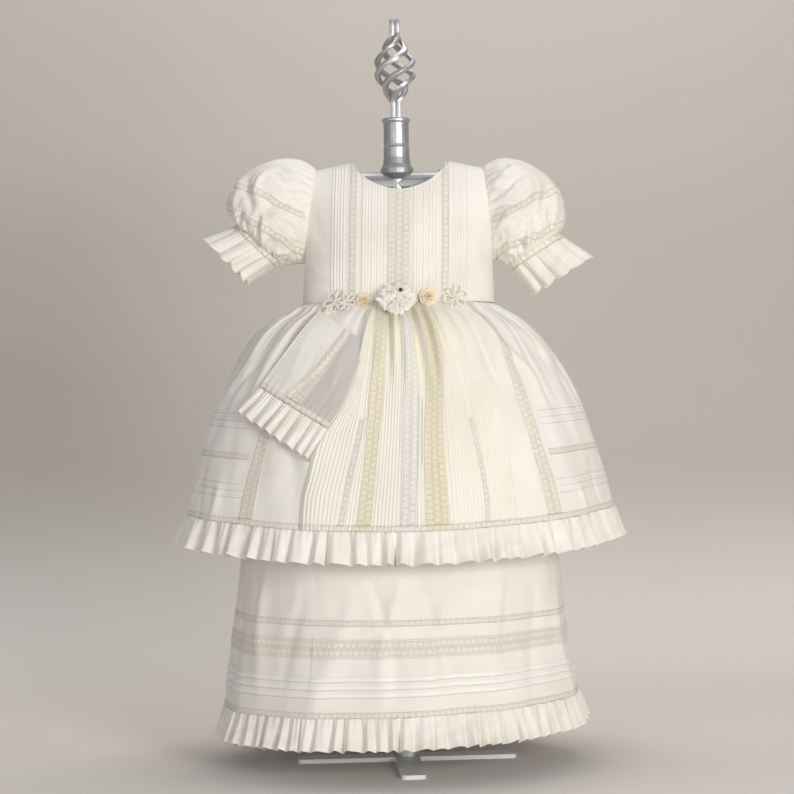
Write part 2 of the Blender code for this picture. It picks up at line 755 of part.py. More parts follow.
def underskirt_offset(angle, z):
    fall = min(max((0.40 - z) / 0.30, 0), 1)
    return 0.6 * FOLD_HEIGHT * fall * math.sin((FOLD_COUNT + 2) * angle + 1.3)


def angles_between(first, last, columns_round, step, table, z):
    """Angles of a gore's columns, its end columns drawn in by half of the seam gap."""
    angles = [2 * math.pi * k / columns_round for k in range(first, last + 1, step)]
    angles[0] += seam_turn(table, angles[0], z)
    angles[-1] -= seam_turn(table, angles[-1], z)
    return angles


def gore_columns(columns_round, even):
    """Column numbers where the gores start, the front one centred on the front."""
    half_front = round(columns_round * FRONT_GORE_SHARE / 2)
    side = round(columns_round * SIDE_GORE_SHARE)
    if even:
        half_front = 2 * round(half_front / 2)
        side = 2 * round(side / 2)
    back = columns_round - 2 * half_front - 2 * side
    starts = [-half_front, half_front, half_front + side, half_front + side + back]
    return list(zip(GORES, starts, starts[1:] + [columns_round - half_front]))


def make_overskirt(group, cloth):
    columns = WAIST_GATHERS * WAVE_COLUMNS
    for label, first, last in gore_columns(columns, True):
        surfaces = []
        for depth in (0.0, COTTON):
            rows = []
            for share, step in OVERSKIRT_ROWS:
                row_z = WAIST_Z - share * (WAIST_Z - OVERSKIRT_HEM_Z - OVERSKIRT_RUFFLE_DEPTH)
                row = []
                for angle in angles_between(first, last, columns, step, OVERSKIRT, row_z):
                    seam = overskirt_hem(angle) + OVERSKIRT_RUFFLE_DEPTH
                    z = WAIST_Z - share * (WAIST_Z - seam)
                    offset = overskirt_offset(angle, z) - depth
                    row.append(skirt_point(OVERSKIRT, angle, z, offset))
                rows.append(row)
            surfaces.append(rows)
        cloth_wall(f"overskirt_{label}", *surfaces, group, cloth)


def make_underskirt(group, cloth):
    columns = UNDERSKIRT_COLUMNS
    for label, first, last in gore_columns(columns, False):
        surfaces = []
        for depth in (0.0, COTTON):
            rows = []
            for row_z in (*UNDERSKIRT_ROWS_Z, None):
                row = []
                angles = angles_between(first, last, columns, 1, UNDERSKIRT, row_z or UNDERSKIRT_HEM_Z)
                for angle in angles:
                    z = row_z or underskirt_hem(angle) + UNDERSKIRT_RUFFLE_DEPTH
                    offset = underskirt_offset(angle, z) - depth
                    row.append(skirt_point(UNDERSKIRT, angle, z, offset))
                rows.append(row)
            surfaces.append(rows)
        cloth_wall(f"underskirt_{label}", *surfaces, group, cloth)


# What a hem ruffle is made on: its skirt's table, its hem and folds, and its own form
Hem = namedtuple("Hem", "skirt table hem_z fold_offset ruffle depth waves")
HEMS = [
    Hem("overskirt", OVERSKIRT, overskirt_hem, overskirt_offset,
        OVERSKIRT_RUFFLE, OVERSKIRT_RUFFLE_DEPTH, OVERSKIRT_WAVES),
    Hem("underskirt", UNDERSKIRT, underskirt_hem, underskirt_offset,
        UNDERSKIRT_RUFFLE, UNDERSKIRT_RUFFLE_DEPTH, UNDERSKIRT_WAVES),
]


def make_hem_ruffle(hem, group, ruffle_cloth):
    columns = hem.waves * WAVE_COLUMNS
    for label, first, last in gore_columns(columns, False):
        surfaces = []
        for depth in (0.0, RUFFLE_CLOTH):
            rows = []
            for share, height, flare in hem.ruffle:
                row = []
                for angle in angles_between(first, last, columns, 1, hem.table, hem.hem_z(0)):
                    z = hem.hem_z(angle) + (hem.depth - GAP) * (1 - share)
                    rise = flare + height * wave(angle, hem.waves)
                    offset = hem.fold_offset(angle, z) + rise - depth
                    row.append(skirt_point(hem.table, angle, z, offset))
                rows.append(row)
            surfaces.append(rows)
        cloth_wall(f"{hem.skirt}_ruffle_{label}", *surfaces, group, ruffle_cloth)


# The side drape

def on_skirt_front(x, z, lift):
    """The place in front of x and z that lies lift outside the plain form of the overskirt."""
    wide = lookup(OVERSKIRT, "half_width", z) + lift
    deep = lookup(OVERSKIRT, "half_depth", z) + lift
    share = min(abs(x - SKIRT_CENTRE_X) / wide, 0.999)
    return np.array((x, -deep * math.sqrt(1 - share * share), z))


def over_skirt(x, z, lift):
    """The place in front of x and z that lies lift outside all the overskirt's gathers."""
    highest_gather = 1.45
    clear = lookup(OVERSKIRT, "gather", z) * highest_gather + fold_height(z)
    return on_skirt_front(x, z, clear + lift)


def drape_row(row, columns, ripple, depth):
    points = []
    for k in range(columns + 1):
        share = k / columns
        x = row.left_x + (row.right_x - row.left_x) * share
        z = row.left_z + (row.right_z - row.left_z) * share
        lift = row.lift + ripple(share)
        points.append(over_skirt(x, z, lift - depth))
    return points


def make_side_drape(group, cloth, ruffle_cloth):
    surfaces = [[drape_row(row, DRAPE_COLUMNS, lambda share: 0.0, depth) for row in SIDE_DRAPE]
                for depth in (0.0, COTTON)]
    cloth_wall("side_drape", *surfaces, group, cloth)
    end = SIDE_DRAPE[-1]
    length = math.dist((end.left_x, end.left_z), (DRAPE_RUFFLE_END.left_x, DRAPE_RUFFLE_END.left_z))
    share = SEAM_GAP / length
    start = DrapeRow(*[a + (b - a) * share for a, b in zip(end, DRAPE_RUFFLE_END)])
    columns = DRAPE_WAVES * WAVE_COLUMNS
    surfaces = []
    for depth in (0.0, RUFFLE_CLOTH):
        rows = []
        for row, form in zip((start, DRAPE_RUFFLE_END), DRAPE_RUFFLE):
            rows.append(drape_row(
                row, columns,
                lambda across: form.wave_height * wave(2 * math.pi * across, DRAPE_WAVES,
                                                       DRAPE_WAVE_UNEVENNESS), depth))
        surfaces.append(rows)
    cloth_wall("side_drape_ruffle", *surfaces, group, ruffle_cloth)


# The flowers on the waist

def lobed_cord(name, centre, out, group, finish):
    """A flower of six open petals bent from one closed length of cord."""
    across, upward = frame_around(out)
    per_petal = 5
    count = PETALS * per_petal
    path = []
    for k in range(count):
        angle = 2 * math.pi * k / count
        petal = abs(math.sin(PETALS / 2 * angle))
        radius = CORD_FLOWER_RADIUS * (0.26 + 0.74 * petal ** 0.8) - CORD_RADIUS
        path.append(centre + across * radius * math.cos(angle) + upward * radius * math.sin(angle))
    points = []
    faces = []
    for k in range(count):
        ahead = path[(k + 1) % count] - path[k - 1]
        sideways = np.cross(ahead, out)
        sideways = sideways / np.linalg.norm(sideways)
        for turn in (0, 1, 2, 3):
            angle = math.pi / 4 + math.pi / 2 * turn
            points.append(path[k] + sideways * CORD_RADIUS * math.cos(angle)
                          + out * CORD_RADIUS * math.sin(angle))
    for k in range(count):
        low = [4 * k + i for i in range(4)]
        high = [4 * ((k + 1) % count) + i for i in range(4)]
        faces.extend(join_rows(high, low, True))
    mesh_object(name, points, faces, group, finish)


def gathers_near(x, z, reach):
    """How far the gathered overskirt stands out within a reach to either side of x."""
    wide = lookup(OVERSKIRT, "half_width", z)
    offsets = []
    for k in range(-4, 5):
        share = (x + reach * k / 4 - SKIRT_CENTRE_X) / wide
        offsets.append(overskirt_offset(math.asin(min(max(share, -1), 1)), z))
    return max(offsets)


def waist_seat(x, z, radius):
    """Middle and outward direction of a flower that bridges the hollow of the waist,
    from the bodice above the seam to the skirt below it."""
    rise = radius
    for _ in range(6):
        top, out = on_bodice(x, z + rise, -1, 0.0)
        top = top + out * GAP
        beside = on_bodice(x + 0.002, z + rise, -1, 0.0)[0] + out * GAP
        bottom = on_skirt_front(x, z - rise, gathers_near(x, z - rise, 0.4 * radius) + 2 * GAP)
        rise *= radius / (np.linalg.norm(top - bottom) / 2)
    facing = np.cross(beside - top, top - bottom)
    return (top + bottom) / 2, facing / np.linalg.norm(facing)


def make_flowers(group, feather, satin, cord, jet):
    radius = FEATHER_FLOWER_RADIUS
    here, out = waist_seat(*FEATHER_FLOWER_AT, 1.10 * radius)
    height = FEATHER_FLOWER_HEIGHT
    profile = [(0, height), (0.35 * radius, height), (0.8 * radius, 0.77 * height),
               (radius, 0.36 * height), (0.99 * radius, 0.02 * height), (0, 0.0)]
    dome("feather_flower", here, out, profile, 24, group, feather, lobes=8, lobe_depth=0.10)
    across, upward = frame_around(out)
    aside = JET_BEAD_AT[0] - FEATHER_FLOWER_AT[0]
    above = JET_BEAD_AT[1] - FEATHER_FLOWER_AT[1]
    at = here + across * aside + upward * above
    bead = JET_BEAD_RADIUS
    base = height + GAP
    profile = [(0, base + bead), (0.7 * bead, base + 0.75 * bead), (bead, base + 0.3 * bead),
               (0.8 * bead, base), (0, base)]
    dome("centre_bead", at, out, profile, 10, group, jet)
    for name, place in ROSES_AT.items():
        here, out = waist_seat(*place, ROSE_RADIUS)
        profile = [(0, 0.0076), (0.45 * ROSE_RADIUS, 0.0080), (0.9 * ROSE_RADIUS, 0.0056),
                   (ROSE_RADIUS, 0.0030), (ROSE_RADIUS, 0.0002), (0, 0.0)]
        dome(name, here, out, profile, 15, group, satin, lobes=5, lobe_depth=0.08)
    for name, place in CORD_FLOWERS_AT.items():
        here, out = waist_seat(*place, CORD_FLOWER_RADIUS)
        lobed_cord(name, here + out * 0.4 * CORD_RADIUS, out, group, cord)


def main():
    clear_scene()
    parts = new_collection(COLLECTION_NAME)
    cutters = new_collection("cutters")
    cotton = make_material("ivory_cotton", IVORY, 0.85, sheen=0.2)
    ruffle = make_material("ivory_ruffle", IVORY, 0.80, sheen=0.2)
    lace = make_material("cream_lace", CREAM, 0.75)
    satin = make_material("satin_ribbon", SATIN, 0.35, sheen=0.3)
    pearl = make_material("pearl_button", IVORY, 0.25)
    jet = make_material("jet_bead", JET, 0.20)
    pewter = make_material("pewter_paint", PEWTER, 0.38, metallic=0.85)

    make_base(parts, pewter)
    make_post(parts, pewter)
    make_tee(parts, cutters, pewter)
    make_collar(parts, pewter)
    make_finial(parts, pewter)
    make_bodice(parts, cotton)
    make_back_closing(parts, cotton, pearl)
    for label, side, rings, cuff_end in (("left", -1, SLEEVE_LEFT, CUFF_END_LEFT),
                                         ("right", 1, SLEEVE_RIGHT, CUFF_END_RIGHT)):
        make_sleeve(label, side, rings, parts, cotton)
        make_cuff(label, rings[-1], cuff_end, parts, ruffle, lace)
    make_overskirt(parts, cotton)
    make_underskirt(parts, cotton)
    for hem in HEMS:
        make_hem_ruffle(hem, parts, ruffle)
    make_side_drape(parts, cotton, ruffle)
    make_flowers(parts, ruffle, satin, lace, jet)


main()
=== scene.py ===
"""Looks of the baby lace christening gown on its metal display stand.

Metres, +Z up. The front of the gown faces -Y and +X is to the viewer's right.
Angles round a skirt run from the front (-Y) towards +X. Every sheet of cloth is a grid
of points: rows run down the cloth and columns run across it.
"""
import math
import random
from collections import namedtuple

import bmesh
import bpy
import numpy as np
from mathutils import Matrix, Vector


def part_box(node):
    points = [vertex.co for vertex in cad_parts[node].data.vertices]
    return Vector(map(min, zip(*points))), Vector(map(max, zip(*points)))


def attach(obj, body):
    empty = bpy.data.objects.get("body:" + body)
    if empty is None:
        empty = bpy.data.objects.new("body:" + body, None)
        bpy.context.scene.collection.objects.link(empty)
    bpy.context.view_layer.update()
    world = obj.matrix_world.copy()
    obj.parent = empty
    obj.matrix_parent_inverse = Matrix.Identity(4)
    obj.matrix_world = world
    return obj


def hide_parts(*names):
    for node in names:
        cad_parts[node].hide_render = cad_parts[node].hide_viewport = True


# The form of the CAD solids, with the same names and values as in the part's source
GAP = 0.0003
SEAM_GAP = 0.0005
WAIST_Z = 0.5722
UNDERARM_Z = 0.6262
UNDERARM_X = 0.1178
SHOULDER_TIP_X = 0.1045
SHOULDER_TIP_Z = 0.7429
SHOULDER_NECK_Z = 0.7525
SHOULDER_SLOPE_FROM_Z = 0.7080
NECK_HALF_WIDTH = 0.0567
NECK_DROP_FRONT = 0.0405
NECK_DROP_BACK = 0.0205
NECK_ROUNDNESS = 1.8
BODY_SQUARENESS = 2.4
PLACKET_HALF_WIDTH = 0.008
BUTTON_RADIUS = 0.005
BUTTON_SHARES = (0.18, 0.36, 0.54, 0.69)
WAIST_GATHERS = 28
OVERSKIRT_HEM_Z = 0.2620
OVERSKIRT_SIDE_RISE = 0.0160
OVERSKIRT_RUFFLE_DEPTH = 0.0380
UNDERSKIRT_HEM_Z = 0.0425
UNDERSKIRT_HEM_TILT = 0.0055
UNDERSKIRT_RUFFLE_DEPTH = 0.0380
SKIRT_CENTRE_X = -0.0045
FOLD_COUNT = 9
FOLD_HEIGHT = 0.0030
FOLD_REACH = 0.2700
CUFF_BAND_WIDTH = 0.0080
CUFF_WAVES = 11

BodiceRow = namedtuple("BodiceRow", "z half_width half_depth")
BODICE = [
    BodiceRow(WAIST_Z + GAP, 0.1205, 0.0755),
    BodiceRow(0.6000, 0.1195, 0.0785),
    BodiceRow(0.6300, 0.1181, 0.0800),
    BodiceRow(0.6600, 0.1215, 0.0790),
    BodiceRow(0.6880, 0.1255, 0.0715),
    BodiceRow(0.7080, 0.1280, 0.0605),
    BodiceRow(0.7240, 0.1290, 0.0480),
    BodiceRow(0.7390, 0.1290, 0.0325),
    BodiceRow(0.7480, 0.1290, 0.0190),
    BodiceRow(SHOULDER_NECK_Z, 0.1290, 0.0000),
]
SkirtRow = namedtuple("SkirtRow", "z half_width half_depth gather")
OVERSKIRT = [
    SkirtRow(0.2600, 0.2790, 0.2130, 0.0000),
    SkirtRow(0.3000, 0.2705, 0.2055, 0.0000),
    SkirtRow(0.3300, 0.2635, 0.1995, 0.0000),
    SkirtRow(0.3700, 0.2530, 0.1905, 0.0004),
    SkirtRow(0.4200, 0.2380, 0.1770, 0.0010),
    SkirtRow(0.4700, 0.2165, 0.1590, 0.0018),
    SkirtRow(0.5100, 0.1930, 0.1385, 0.0028),
    SkirtRow(0.5350, 0.1745, 0.1215, 0.0034),
    SkirtRow(0.5530, 0.1535, 0.1025, 0.0034),
    SkirtRow(0.5660, 0.1305, 0.0845, 0.0026),
    SkirtRow(WAIST_Z, 0.1205, 0.0760, 0.0016),
]
UNDERSKIRT = [
    SkirtRow(0.0360, 0.2300, 0.1840, 0.0000),
    SkirtRow(0.0740, 0.2235, 0.1785, 0.0000),
    SkirtRow(0.1100, 0.2175, 0.1735, 0.0000),
    SkirtRow(0.1400, 0.2120, 0.1690, 0.0000),
    SkirtRow(0.1700, 0.2080, 0.1660, 0.0000),
    SkirtRow(0.2500, 0.2010, 0.1600, 0.0000),
    SkirtRow(0.3500, 0.1860, 0.1460, 0.0000),
    SkirtRow(0.5000, 0.1490, 0.1060, 0.0000),
    SkirtRow(WAIST_Z - 0.0004, 0.1161, 0.0716, 0.0000),
]
SleeveRing = namedtuple("SleeveRing", "top_x top_z bottom_x bottom_z half_depth")
SLEEVE_LEFT = [
    SleeveRing(-0.1230, 0.7545, -0.1225, 0.6266, 0.0520),
    SleeveRing(-0.1450, 0.7570, -0.1270, 0.6264, 0.0590),
    SleeveRing(-0.1720, 0.7505, -0.1320, 0.6262, 0.0610),
    SleeveRing(-0.1950, 0.7345, -0.1370, 0.6262, 0.0590),
    SleeveRing(-0.2110, 0.7130, -0.1420, 0.6264, 0.0530),
    SleeveRing(-0.2125, 0.6930, -0.1460, 0.6266, 0.0440),
    SleeveRing(-0.1995, 0.6765, -0.1490, 0.6280, 0.0350),
]
SLEEVE_RIGHT = [
    SleeveRing(0.1275, 0.7510, 0.1235, 0.6290, 0.0520),
    SleeveRing(0.1500, 0.7505, 0.1265, 0.6270, 0.0590),
    SleeveRing(0.1740, 0.7410, 0.1295, 0.6250, 0.0610),
    SleeveRing(0.1940, 0.7240, 0.1325, 0.6235, 0.0590),
    SleeveRing(0.2060, 0.7010, 0.1350, 0.6220, 0.0530),
    SleeveRing(0.2080, 0.6770, 0.1370, 0.6205, 0.0440),
    SleeveRing(0.2010, 0.6590, 0.1385, 0.6200, 0.0350),
]
CUFF_END_LEFT = SleeveRing(-0.2400, 0.6545, -0.1905, 0.6065, 0.0400)
CUFF_END_RIGHT = SleeveRing(0.2390, 0.6255, 0.1685, 0.5840, 0.0400)
DrapeRow = namedtuple("DrapeRow", "left_x left_z right_x right_z lift")
SIDE_DRAPE = [
    DrapeRow(-0.0980, 0.5640, -0.0400, 0.5200, 0.0012),
    DrapeRow(-0.1140, 0.5450, -0.0480, 0.4980, 0.0030),
    DrapeRow(-0.1330, 0.5200, -0.0590, 0.4700, 0.0040),
    DrapeRow(-0.1520, 0.4950, -0.0720, 0.4440, 0.0040),
    DrapeRow(-0.1700, 0.4715, -0.0860, 0.4200, 0.0036),
]
DRAPE_RUFFLE_END = DrapeRow(-0.1985, 0.4420, -0.1080, 0.3830, 0.0060)
DRAPE_WAVES = 8
FEATHER_FLOWER_RADIUS = 0.0260
ROSES = ("rose_left", "rose_right")
ROSE_RADIUS = 0.0085
CORD_FLOWERS = ("cord_flower_left", "cord_flower_right")
CORD_FLOWER_RADIUS = 0.0150
CORD_RADIUS = 0.00078
PETALS = 6
COLLAR_TOP_Z = 0.8063
ROD_SIDE = 0.0062
BASKET_BOTTOM_Z = 0.8264
BASKET_TOP_Z = 0.9120
STAND_TOP_Z = 0.9310
BASKET_RADIUS = 0.0235
BASKET_RODS = 4
BASKET_TURN = 2 * math.pi

# Colours in linear light
IVORY = (0.87, 0.84, 0.775)
IVORY_SHADE = (0.81, 0.77, 0.695)
RUFFLE_SHADE = (0.80, 0.755, 0.67)
CREAM = (0.88, 0.80, 0.59)
LACE_THREAD = (0.97, 0.95, 0.90)
LACE_THREAD_WARM = (0.93, 0.85, 0.63)
# Painted shade in the holes of lace, plain and warm
LACE_HOLE_SHADE = (0.83, 0.785, 0.70)
WARM_LACE_HOLE_SHADE = (0.79, 0.68, 0.46)
# Painted shade for the far part of the side drape
DRAPE_SHADE = (0.52, 0.485, 0.455)
# Painted shade in the slits and lines below tucks
SEAM_SHADE = (0.56, 0.53, 0.48)
SATIN = (0.91, 0.82, 0.62)
# Painted amber shade in the folds of a rose
SATIN_FOLD_SHADE = (0.72, 0.46, 0.20)
# Painted highlight of the satin tucks, whiter than the cotton
SATIN_TUCK_HIGHLIGHT = (0.94, 0.915, 0.86)
CORD = (0.97, 0.95, 0.88)
CORD_SHADE = (0.91, 0.86, 0.73)
FEATHER = (0.99, 0.965, 0.90)
FEATHER_SHADE = (0.97, 0.93, 0.835)
PEARL = (0.86, 0.82, 0.76)
PEARL_SHADE = (0.80, 0.78, 0.74)
JET = (0.012, 0.010, 0.012)
JET_SHEEN = (0.035, 0.030, 0.034)
PEWTER = (0.50, 0.50, 0.51)
PEWTER_DARK = (0.46, 0.46, 0.47)
PEWTER_LIGHT = (0.58, 0.58, 0.59)
WALL = (0.50, 0.465, 0.425)
FLOOR = (0.80, 0.765, 0.72)

SHEET_THICKNESS = 0.0007
WEAVE_PITCH = 0.00062
# Degrees that a gore's edge keeps clear of the next gore's
SEAM_TURN = 0.008
# Distance from a lace band, on cloth that has none
FAR = 0.5
# Length of one flower of lace, and the least half width that its pattern is worked out for
LACE_STEP = 0.0072
LEAST_LACE_HALF = 0.0005


# Materials

class Finish:
    """One material and the nodes that are added to it."""

    def __init__(self, name):
        self.material = bpy.data.materials.new(name)
        self.material.use_nodes = True
        self.tree = self.material.node_tree
        self.shader = self.tree.nodes["Principled BSDF"]

    def put(self, socket, value):
        if isinstance(value, bpy.types.NodeSocket):
            self.tree.links.new(value, socket)
        elif hasattr(value, "__len__") and len(value) == 3 and socket.type == "RGBA":
            socket.default_value = (*value, 1.0)
        else:
            socket.default_value = value

    def node(self, kind, inputs=None, **settings):
        made = self.tree.nodes.new(kind)
        for key, value in settings.items():
            setattr(made, key, value)
        for key, value in (inputs or {}).items():
            self.put(made.inputs[key], value)
        return made

    def math(self, operation, *values):
        made = self.tree.nodes.new("ShaderNodeMath")
        made.operation = operation
        for socket, value in zip(made.inputs, values):
            self.put(socket, value)
        return made.outputs[0]

    def smooth(self, value, low, high):
        """0 below low and 1 above high, eased between them."""
        made = self.node("ShaderNodeMapRange", {"Value": value, "From Min": low, "From Max": high},
                         interpolation_type="SMOOTHSTEP")
        return made.outputs[0]

    def mix(self, share, first, second):
        made = self.tree.nodes.new("ShaderNodeMix")
        made.data_type = "RGBA"
        self.put(made.inputs[0], share)
        self.put(made.inputs[6], first)
        self.put(made.inputs[7], second)
        return made.outputs[2]

    def field(self, name):
        return self.node("ShaderNodeAttribute", attribute_name=name).outputs["Fac"]

    def cloth_place(self):
        """Metres across and down the cloth."""
        place = self.node("ShaderNodeUVMap", uv_map="cloth").outputs[0]
        parts = self.node("ShaderNodeSeparateXYZ", {0: place})
        return place, parts.outputs[0], parts.outputs[1]

    def noise(self, scale, detail, place, roughness=0.5):
        inputs = {"Scale": scale, "Detail": detail, "Roughness": roughness, "Vector": place}
        return self.node("ShaderNodeTexNoise", inputs).outputs["Fac"]

    def position(self):
        return self.node("ShaderNodeTexCoord").outputs["Object"]

    def bump(self, height, distance, strength, normal=None):
        inputs = {"Height": height, "Distance": distance, "Strength": strength}
        if normal is not None:
            inputs["Normal"] = normal
        return self.node("ShaderNodeBump", inputs).outputs[0]

    def surface(self, **values):
        for key, value in values.items():
            self.put(self.shader.inputs[key.replace("_", " ").title()], value)
        return self.material


def weave_height(f, across, down):
    """Height of a plain weave, from 0 to 1."""
    turn = 2 * math.pi / WEAVE_PITCH
    warp = f.math("SINE", f.math("MULTIPLY", across, turn))
    weft = f.math("SINE", f.math("MULTIPLY", down, turn))
    return f.math("MULTIPLY_ADD", f.math("MULTIPLY", warp, weft), 0.5, 0.5)


def lace_pattern(f, across, along, half, rows):
    """Height of a band of bobbin lace, from 0 in its holes to 1 on its threads.

    Rows of small five-petalled flowers stand on a fine net, between two beaded edges."""
    wide = f.math("DIVIDE", across, half)
    cell = f.math("DIVIDE", f.math("MULTIPLY", half, 1.76), rows)
    place = f.math("ADD", f.math("DIVIDE", across, cell), f.math("MULTIPLY", rows, 0.5))
    number = f.math("FLOOR", place)
    beside = f.math("MULTIPLY", f.math("SUBTRACT", f.math("SUBTRACT", place, number), 0.5), cell)
    run = f.math("ADD", f.math("DIVIDE", along, LACE_STEP), f.math("MULTIPLY", number, 0.5))
    deep = f.math("MULTIPLY", f.math("SUBTRACT", f.math("FRACT", run), 0.5), LACE_STEP)
    size = f.math("MULTIPLY", f.math("MINIMUM", cell, LACE_STEP), 0.5)
    squares = f.math("ADD", f.math("MULTIPLY", beside, beside), f.math("MULTIPLY", deep, deep))
    reach = f.math("DIVIDE", f.math("SQRT", squares), size)
    turn = f.math("ARCTAN2", deep, beside)
    lobes = f.math("ABSOLUTE", f.math("COSINE", f.math("MULTIPLY", turn, 2.5)))
    outline = f.math("MULTIPLY_ADD", lobes, 0.42, 0.52)
    petals = f.smooth(f.math("SUBTRACT", outline, reach), -0.06, 0.10)
    flower = f.math("MULTIPLY", petals, f.smooth(reach, 0.16, 0.30))
    edge_at = f.math("ABSOLUTE", f.math("SUBTRACT", f.math("ABSOLUTE", wide), 0.90))
    beads = f.math("MULTIPLY_ADD", f.math("SINE", f.math("MULTIPLY", along, 3300.0)), 0.04, 0.10)
    edge = f.smooth(f.math("SUBTRACT", beads, edge_at), -0.03, 0.05)
    spot = f.node("ShaderNodeCombineXYZ", {0: across, 1: along}).outputs[0]
    net = f.node("ShaderNodeTexVoronoi", {"Scale": 640.0, "Vector": spot, "Randomness": 0.5},
                 feature="DISTANCE_TO_EDGE", voronoi_dimensions="2D").outputs["Distance"]
    threads = f.math("MULTIPLY", f.math("SUBTRACT", 1.0, f.smooth(net, 0.10, 0.30)), 0.62)
    return f.math("MAXIMUM", f.math("MAXIMUM", flower, edge), threads)


def lace_let_in(f):
    """How far a place is inside a band of lace with a scalloped rim, and the lace's height there."""
    lace_x, lace_y, lace_half = f.field("lace_x"), f.field("lace_y"), f.field("lace_half")
    half = f.math("MAXIMUM", lace_half, LEAST_LACE_HALF)
    scallop = f.math("SINE", f.math("MULTIPLY", lace_y, 2 * math.pi / LACE_STEP * 2))
    rim = f.math("MULTIPLY_ADD", scallop, 0.05, 0.97)
    reach = f.math("DIVIDE", f.math("ABSOLUTE", lace_x), half)
    inside = f.smooth(f.math("SUBTRACT", rim, reach), -0.02, 0.04)
    inside = f.math("MULTIPLY", inside, f.math("GREATER_THAN", lace_half, 0.0006))
    return inside, lace_pattern(f, lace_x, lace_y, half, f.math("MAXIMUM", f.field("lace_rows"), 1.0))


def make_cotton(name):
    """Fine ivory cotton. The fields of a sheet say where lace is let in, where the cloth is creamier,
    where warm shade is painted into the troughs of gathers, where shade is painted over the side drape,
    where it is a satin tuck with a painted highlight, and where a tuck leaves a slit below it with painted
    shade."""
    f = Finish(name)
    place, across, down = f.cloth_place()
    inside, lace = lace_let_in(f)
    warm = f.smooth(f.field("warm"), 0.0, 1.0)
    satin, slit_shade = f.field("satin"), f.field("open")
    cloud = f.noise(9.0, 3.0, place)
    fine = f.noise(900.0, 2.0, place)
    crush = f.noise(260.0, 4.0, place, 0.6)
    plain = f.mix(f.smooth(cloud, 0.35, 0.70), IVORY, IVORY_SHADE)
    # Cream where the cloth is creamier, and painted warm shade in the troughs of gathers
    plain = f.mix(f.math("MULTIPLY", warm, 0.75), plain, CREAM)
    # Painted shade over the far part of the side drape
    plain = f.mix(f.math("MULTIPLY", f.field("reverse"), 0.8), plain, DRAPE_SHADE)
    thread = f.mix(warm, LACE_THREAD, LACE_THREAD_WARM)
    # The holes of the lace are painted in shade, warmer where the cloth is creamier
    hole_shade = f.mix(f.math("MULTIPLY", warm, f.smooth(fine, 0.10, 0.60)), LACE_HOLE_SHADE, WARM_LACE_HOLE_SHADE)
    colour = f.mix(inside, plain, f.mix(f.smooth(lace, 0.05, 0.65), hole_shade, thread))
    # Satin tucks are painted whiter, a painted highlight besides their lower roughness
    colour = f.mix(f.math("MULTIPLY", satin, 0.8), colour, SATIN_TUCK_HIGHLIGHT)
    # Painted shade in the slits and lines under the tucks, which also let a little light through
    colour = f.mix(f.math("MULTIPLY", f.smooth(slit_shade, 0.20, 0.80), 0.28), colour, SEAM_SHADE)
    weave = weave_height(f, across, down)
    cloth = f.bump(f.math("ADD", f.math("MULTIPLY", weave, 0.35), crush), 0.00025, 0.55)
    relief = f.bump(f.math("MULTIPLY", inside, lace), 0.0011, 1.0, cloth)
    slit = f.math("MULTIPLY", f.smooth(slit_shade, 0.30, 0.60), 0.12)
    return f.surface(base_color=colour, roughness=f.math("MULTIPLY_ADD", satin, -0.50, 0.80),
                     sheen_weight=0.25, sheen_roughness=0.5, normal=relief,
                     alpha=f.math("SUBTRACT", 1.0, slit))


def make_ruffle_cotton(name):
    """The same cotton for ruffles, with a line of stitches above the hem."""
    f = Finish(name)
    place, across, down = f.cloth_place()
    cloud = f.noise(14.0, 3.0, place)
    colour = f.mix(f.smooth(cloud, 0.35, 0.70), IVORY, RUFFLE_SHADE)
    weave = weave_height(f, across, down)
    crush = f.noise(300.0, 4.0, place, 0.6)
    stitch = f.smooth(f.math("ABSOLUTE", f.math("SUBTRACT", f.field("hem"), 0.0052)), 0.0003, 0.0008)
    height = f.math("ADD", crush, f.math("MULTIPLY", stitch, 0.8))
    height = f.math("ADD", f.math("MULTIPLY", weave, 0.3), height)
    return f.surface(base_color=colour, roughness=0.78, sheen_weight=0.25, sheen_roughness=0.5,
                     normal=f.bump(height, 0.0003, 0.6))


def make_lace(name):
    """Lace by itself, with mottled warm threads and painted shade in the holes between them."""
    f = Finish(name)
    half = f.math("MAXIMUM", f.field("lace_half"), LEAST_LACE_HALF)
    lace = lace_pattern(f, f.field("lace_x"), f.field("lace_y"), half, 1.0)
    fine = f.noise(1500.0, 2.0, f.position())
    thread = f.mix(f.smooth(fine, 0.35, 0.65), LACE_THREAD, LACE_THREAD_WARM)
    # The holes of the lace are painted in warm shade
    colour = f.mix(f.smooth(lace, 0.10, 0.62), WARM_LACE_HOLE_SHADE, thread)
    height = f.math("MULTIPLY_ADD", fine, 0.2, lace)
    return f.surface(base_color=colour, roughness=0.72, sheen_weight=0.2,
                     normal=f.bump(height, 0.0009, 0.9))


def make_cord_finish(name):
    """Shiny twisted silk cord."""
    f = Finish(name)
    twist = f.node("ShaderNodeTexWave", {"Scale": 420.0, "Distortion": 0.6, "Vector": f.position()},
                   bands_direction="DIAGONAL").outputs["Fac"]
    colour = f.mix(f.smooth(twist, 0.2, 0.8), CORD_SHADE, CORD)
    return f.surface(base_color=colour, roughness=0.38, sheen_weight=0.3,
                     normal=f.bump(twist, 0.0003, 0.45))


def make_satin(name):
    """Ribbon satin with painted amber shade in the folds at the heart of a rose."""
    f = Finish(name)
    colour = f.mix(f.smooth(f.field("heart"), 0.0, 1.0), SATIN, SATIN_FOLD_SHADE)
    grain = f.noise(1800.0, 2.0, f.position())
    return f.surface(base_color=colour, roughness=0.33, sheen_weight=0.35,
                     normal=f.bump(grain, 0.0001, 0.5))


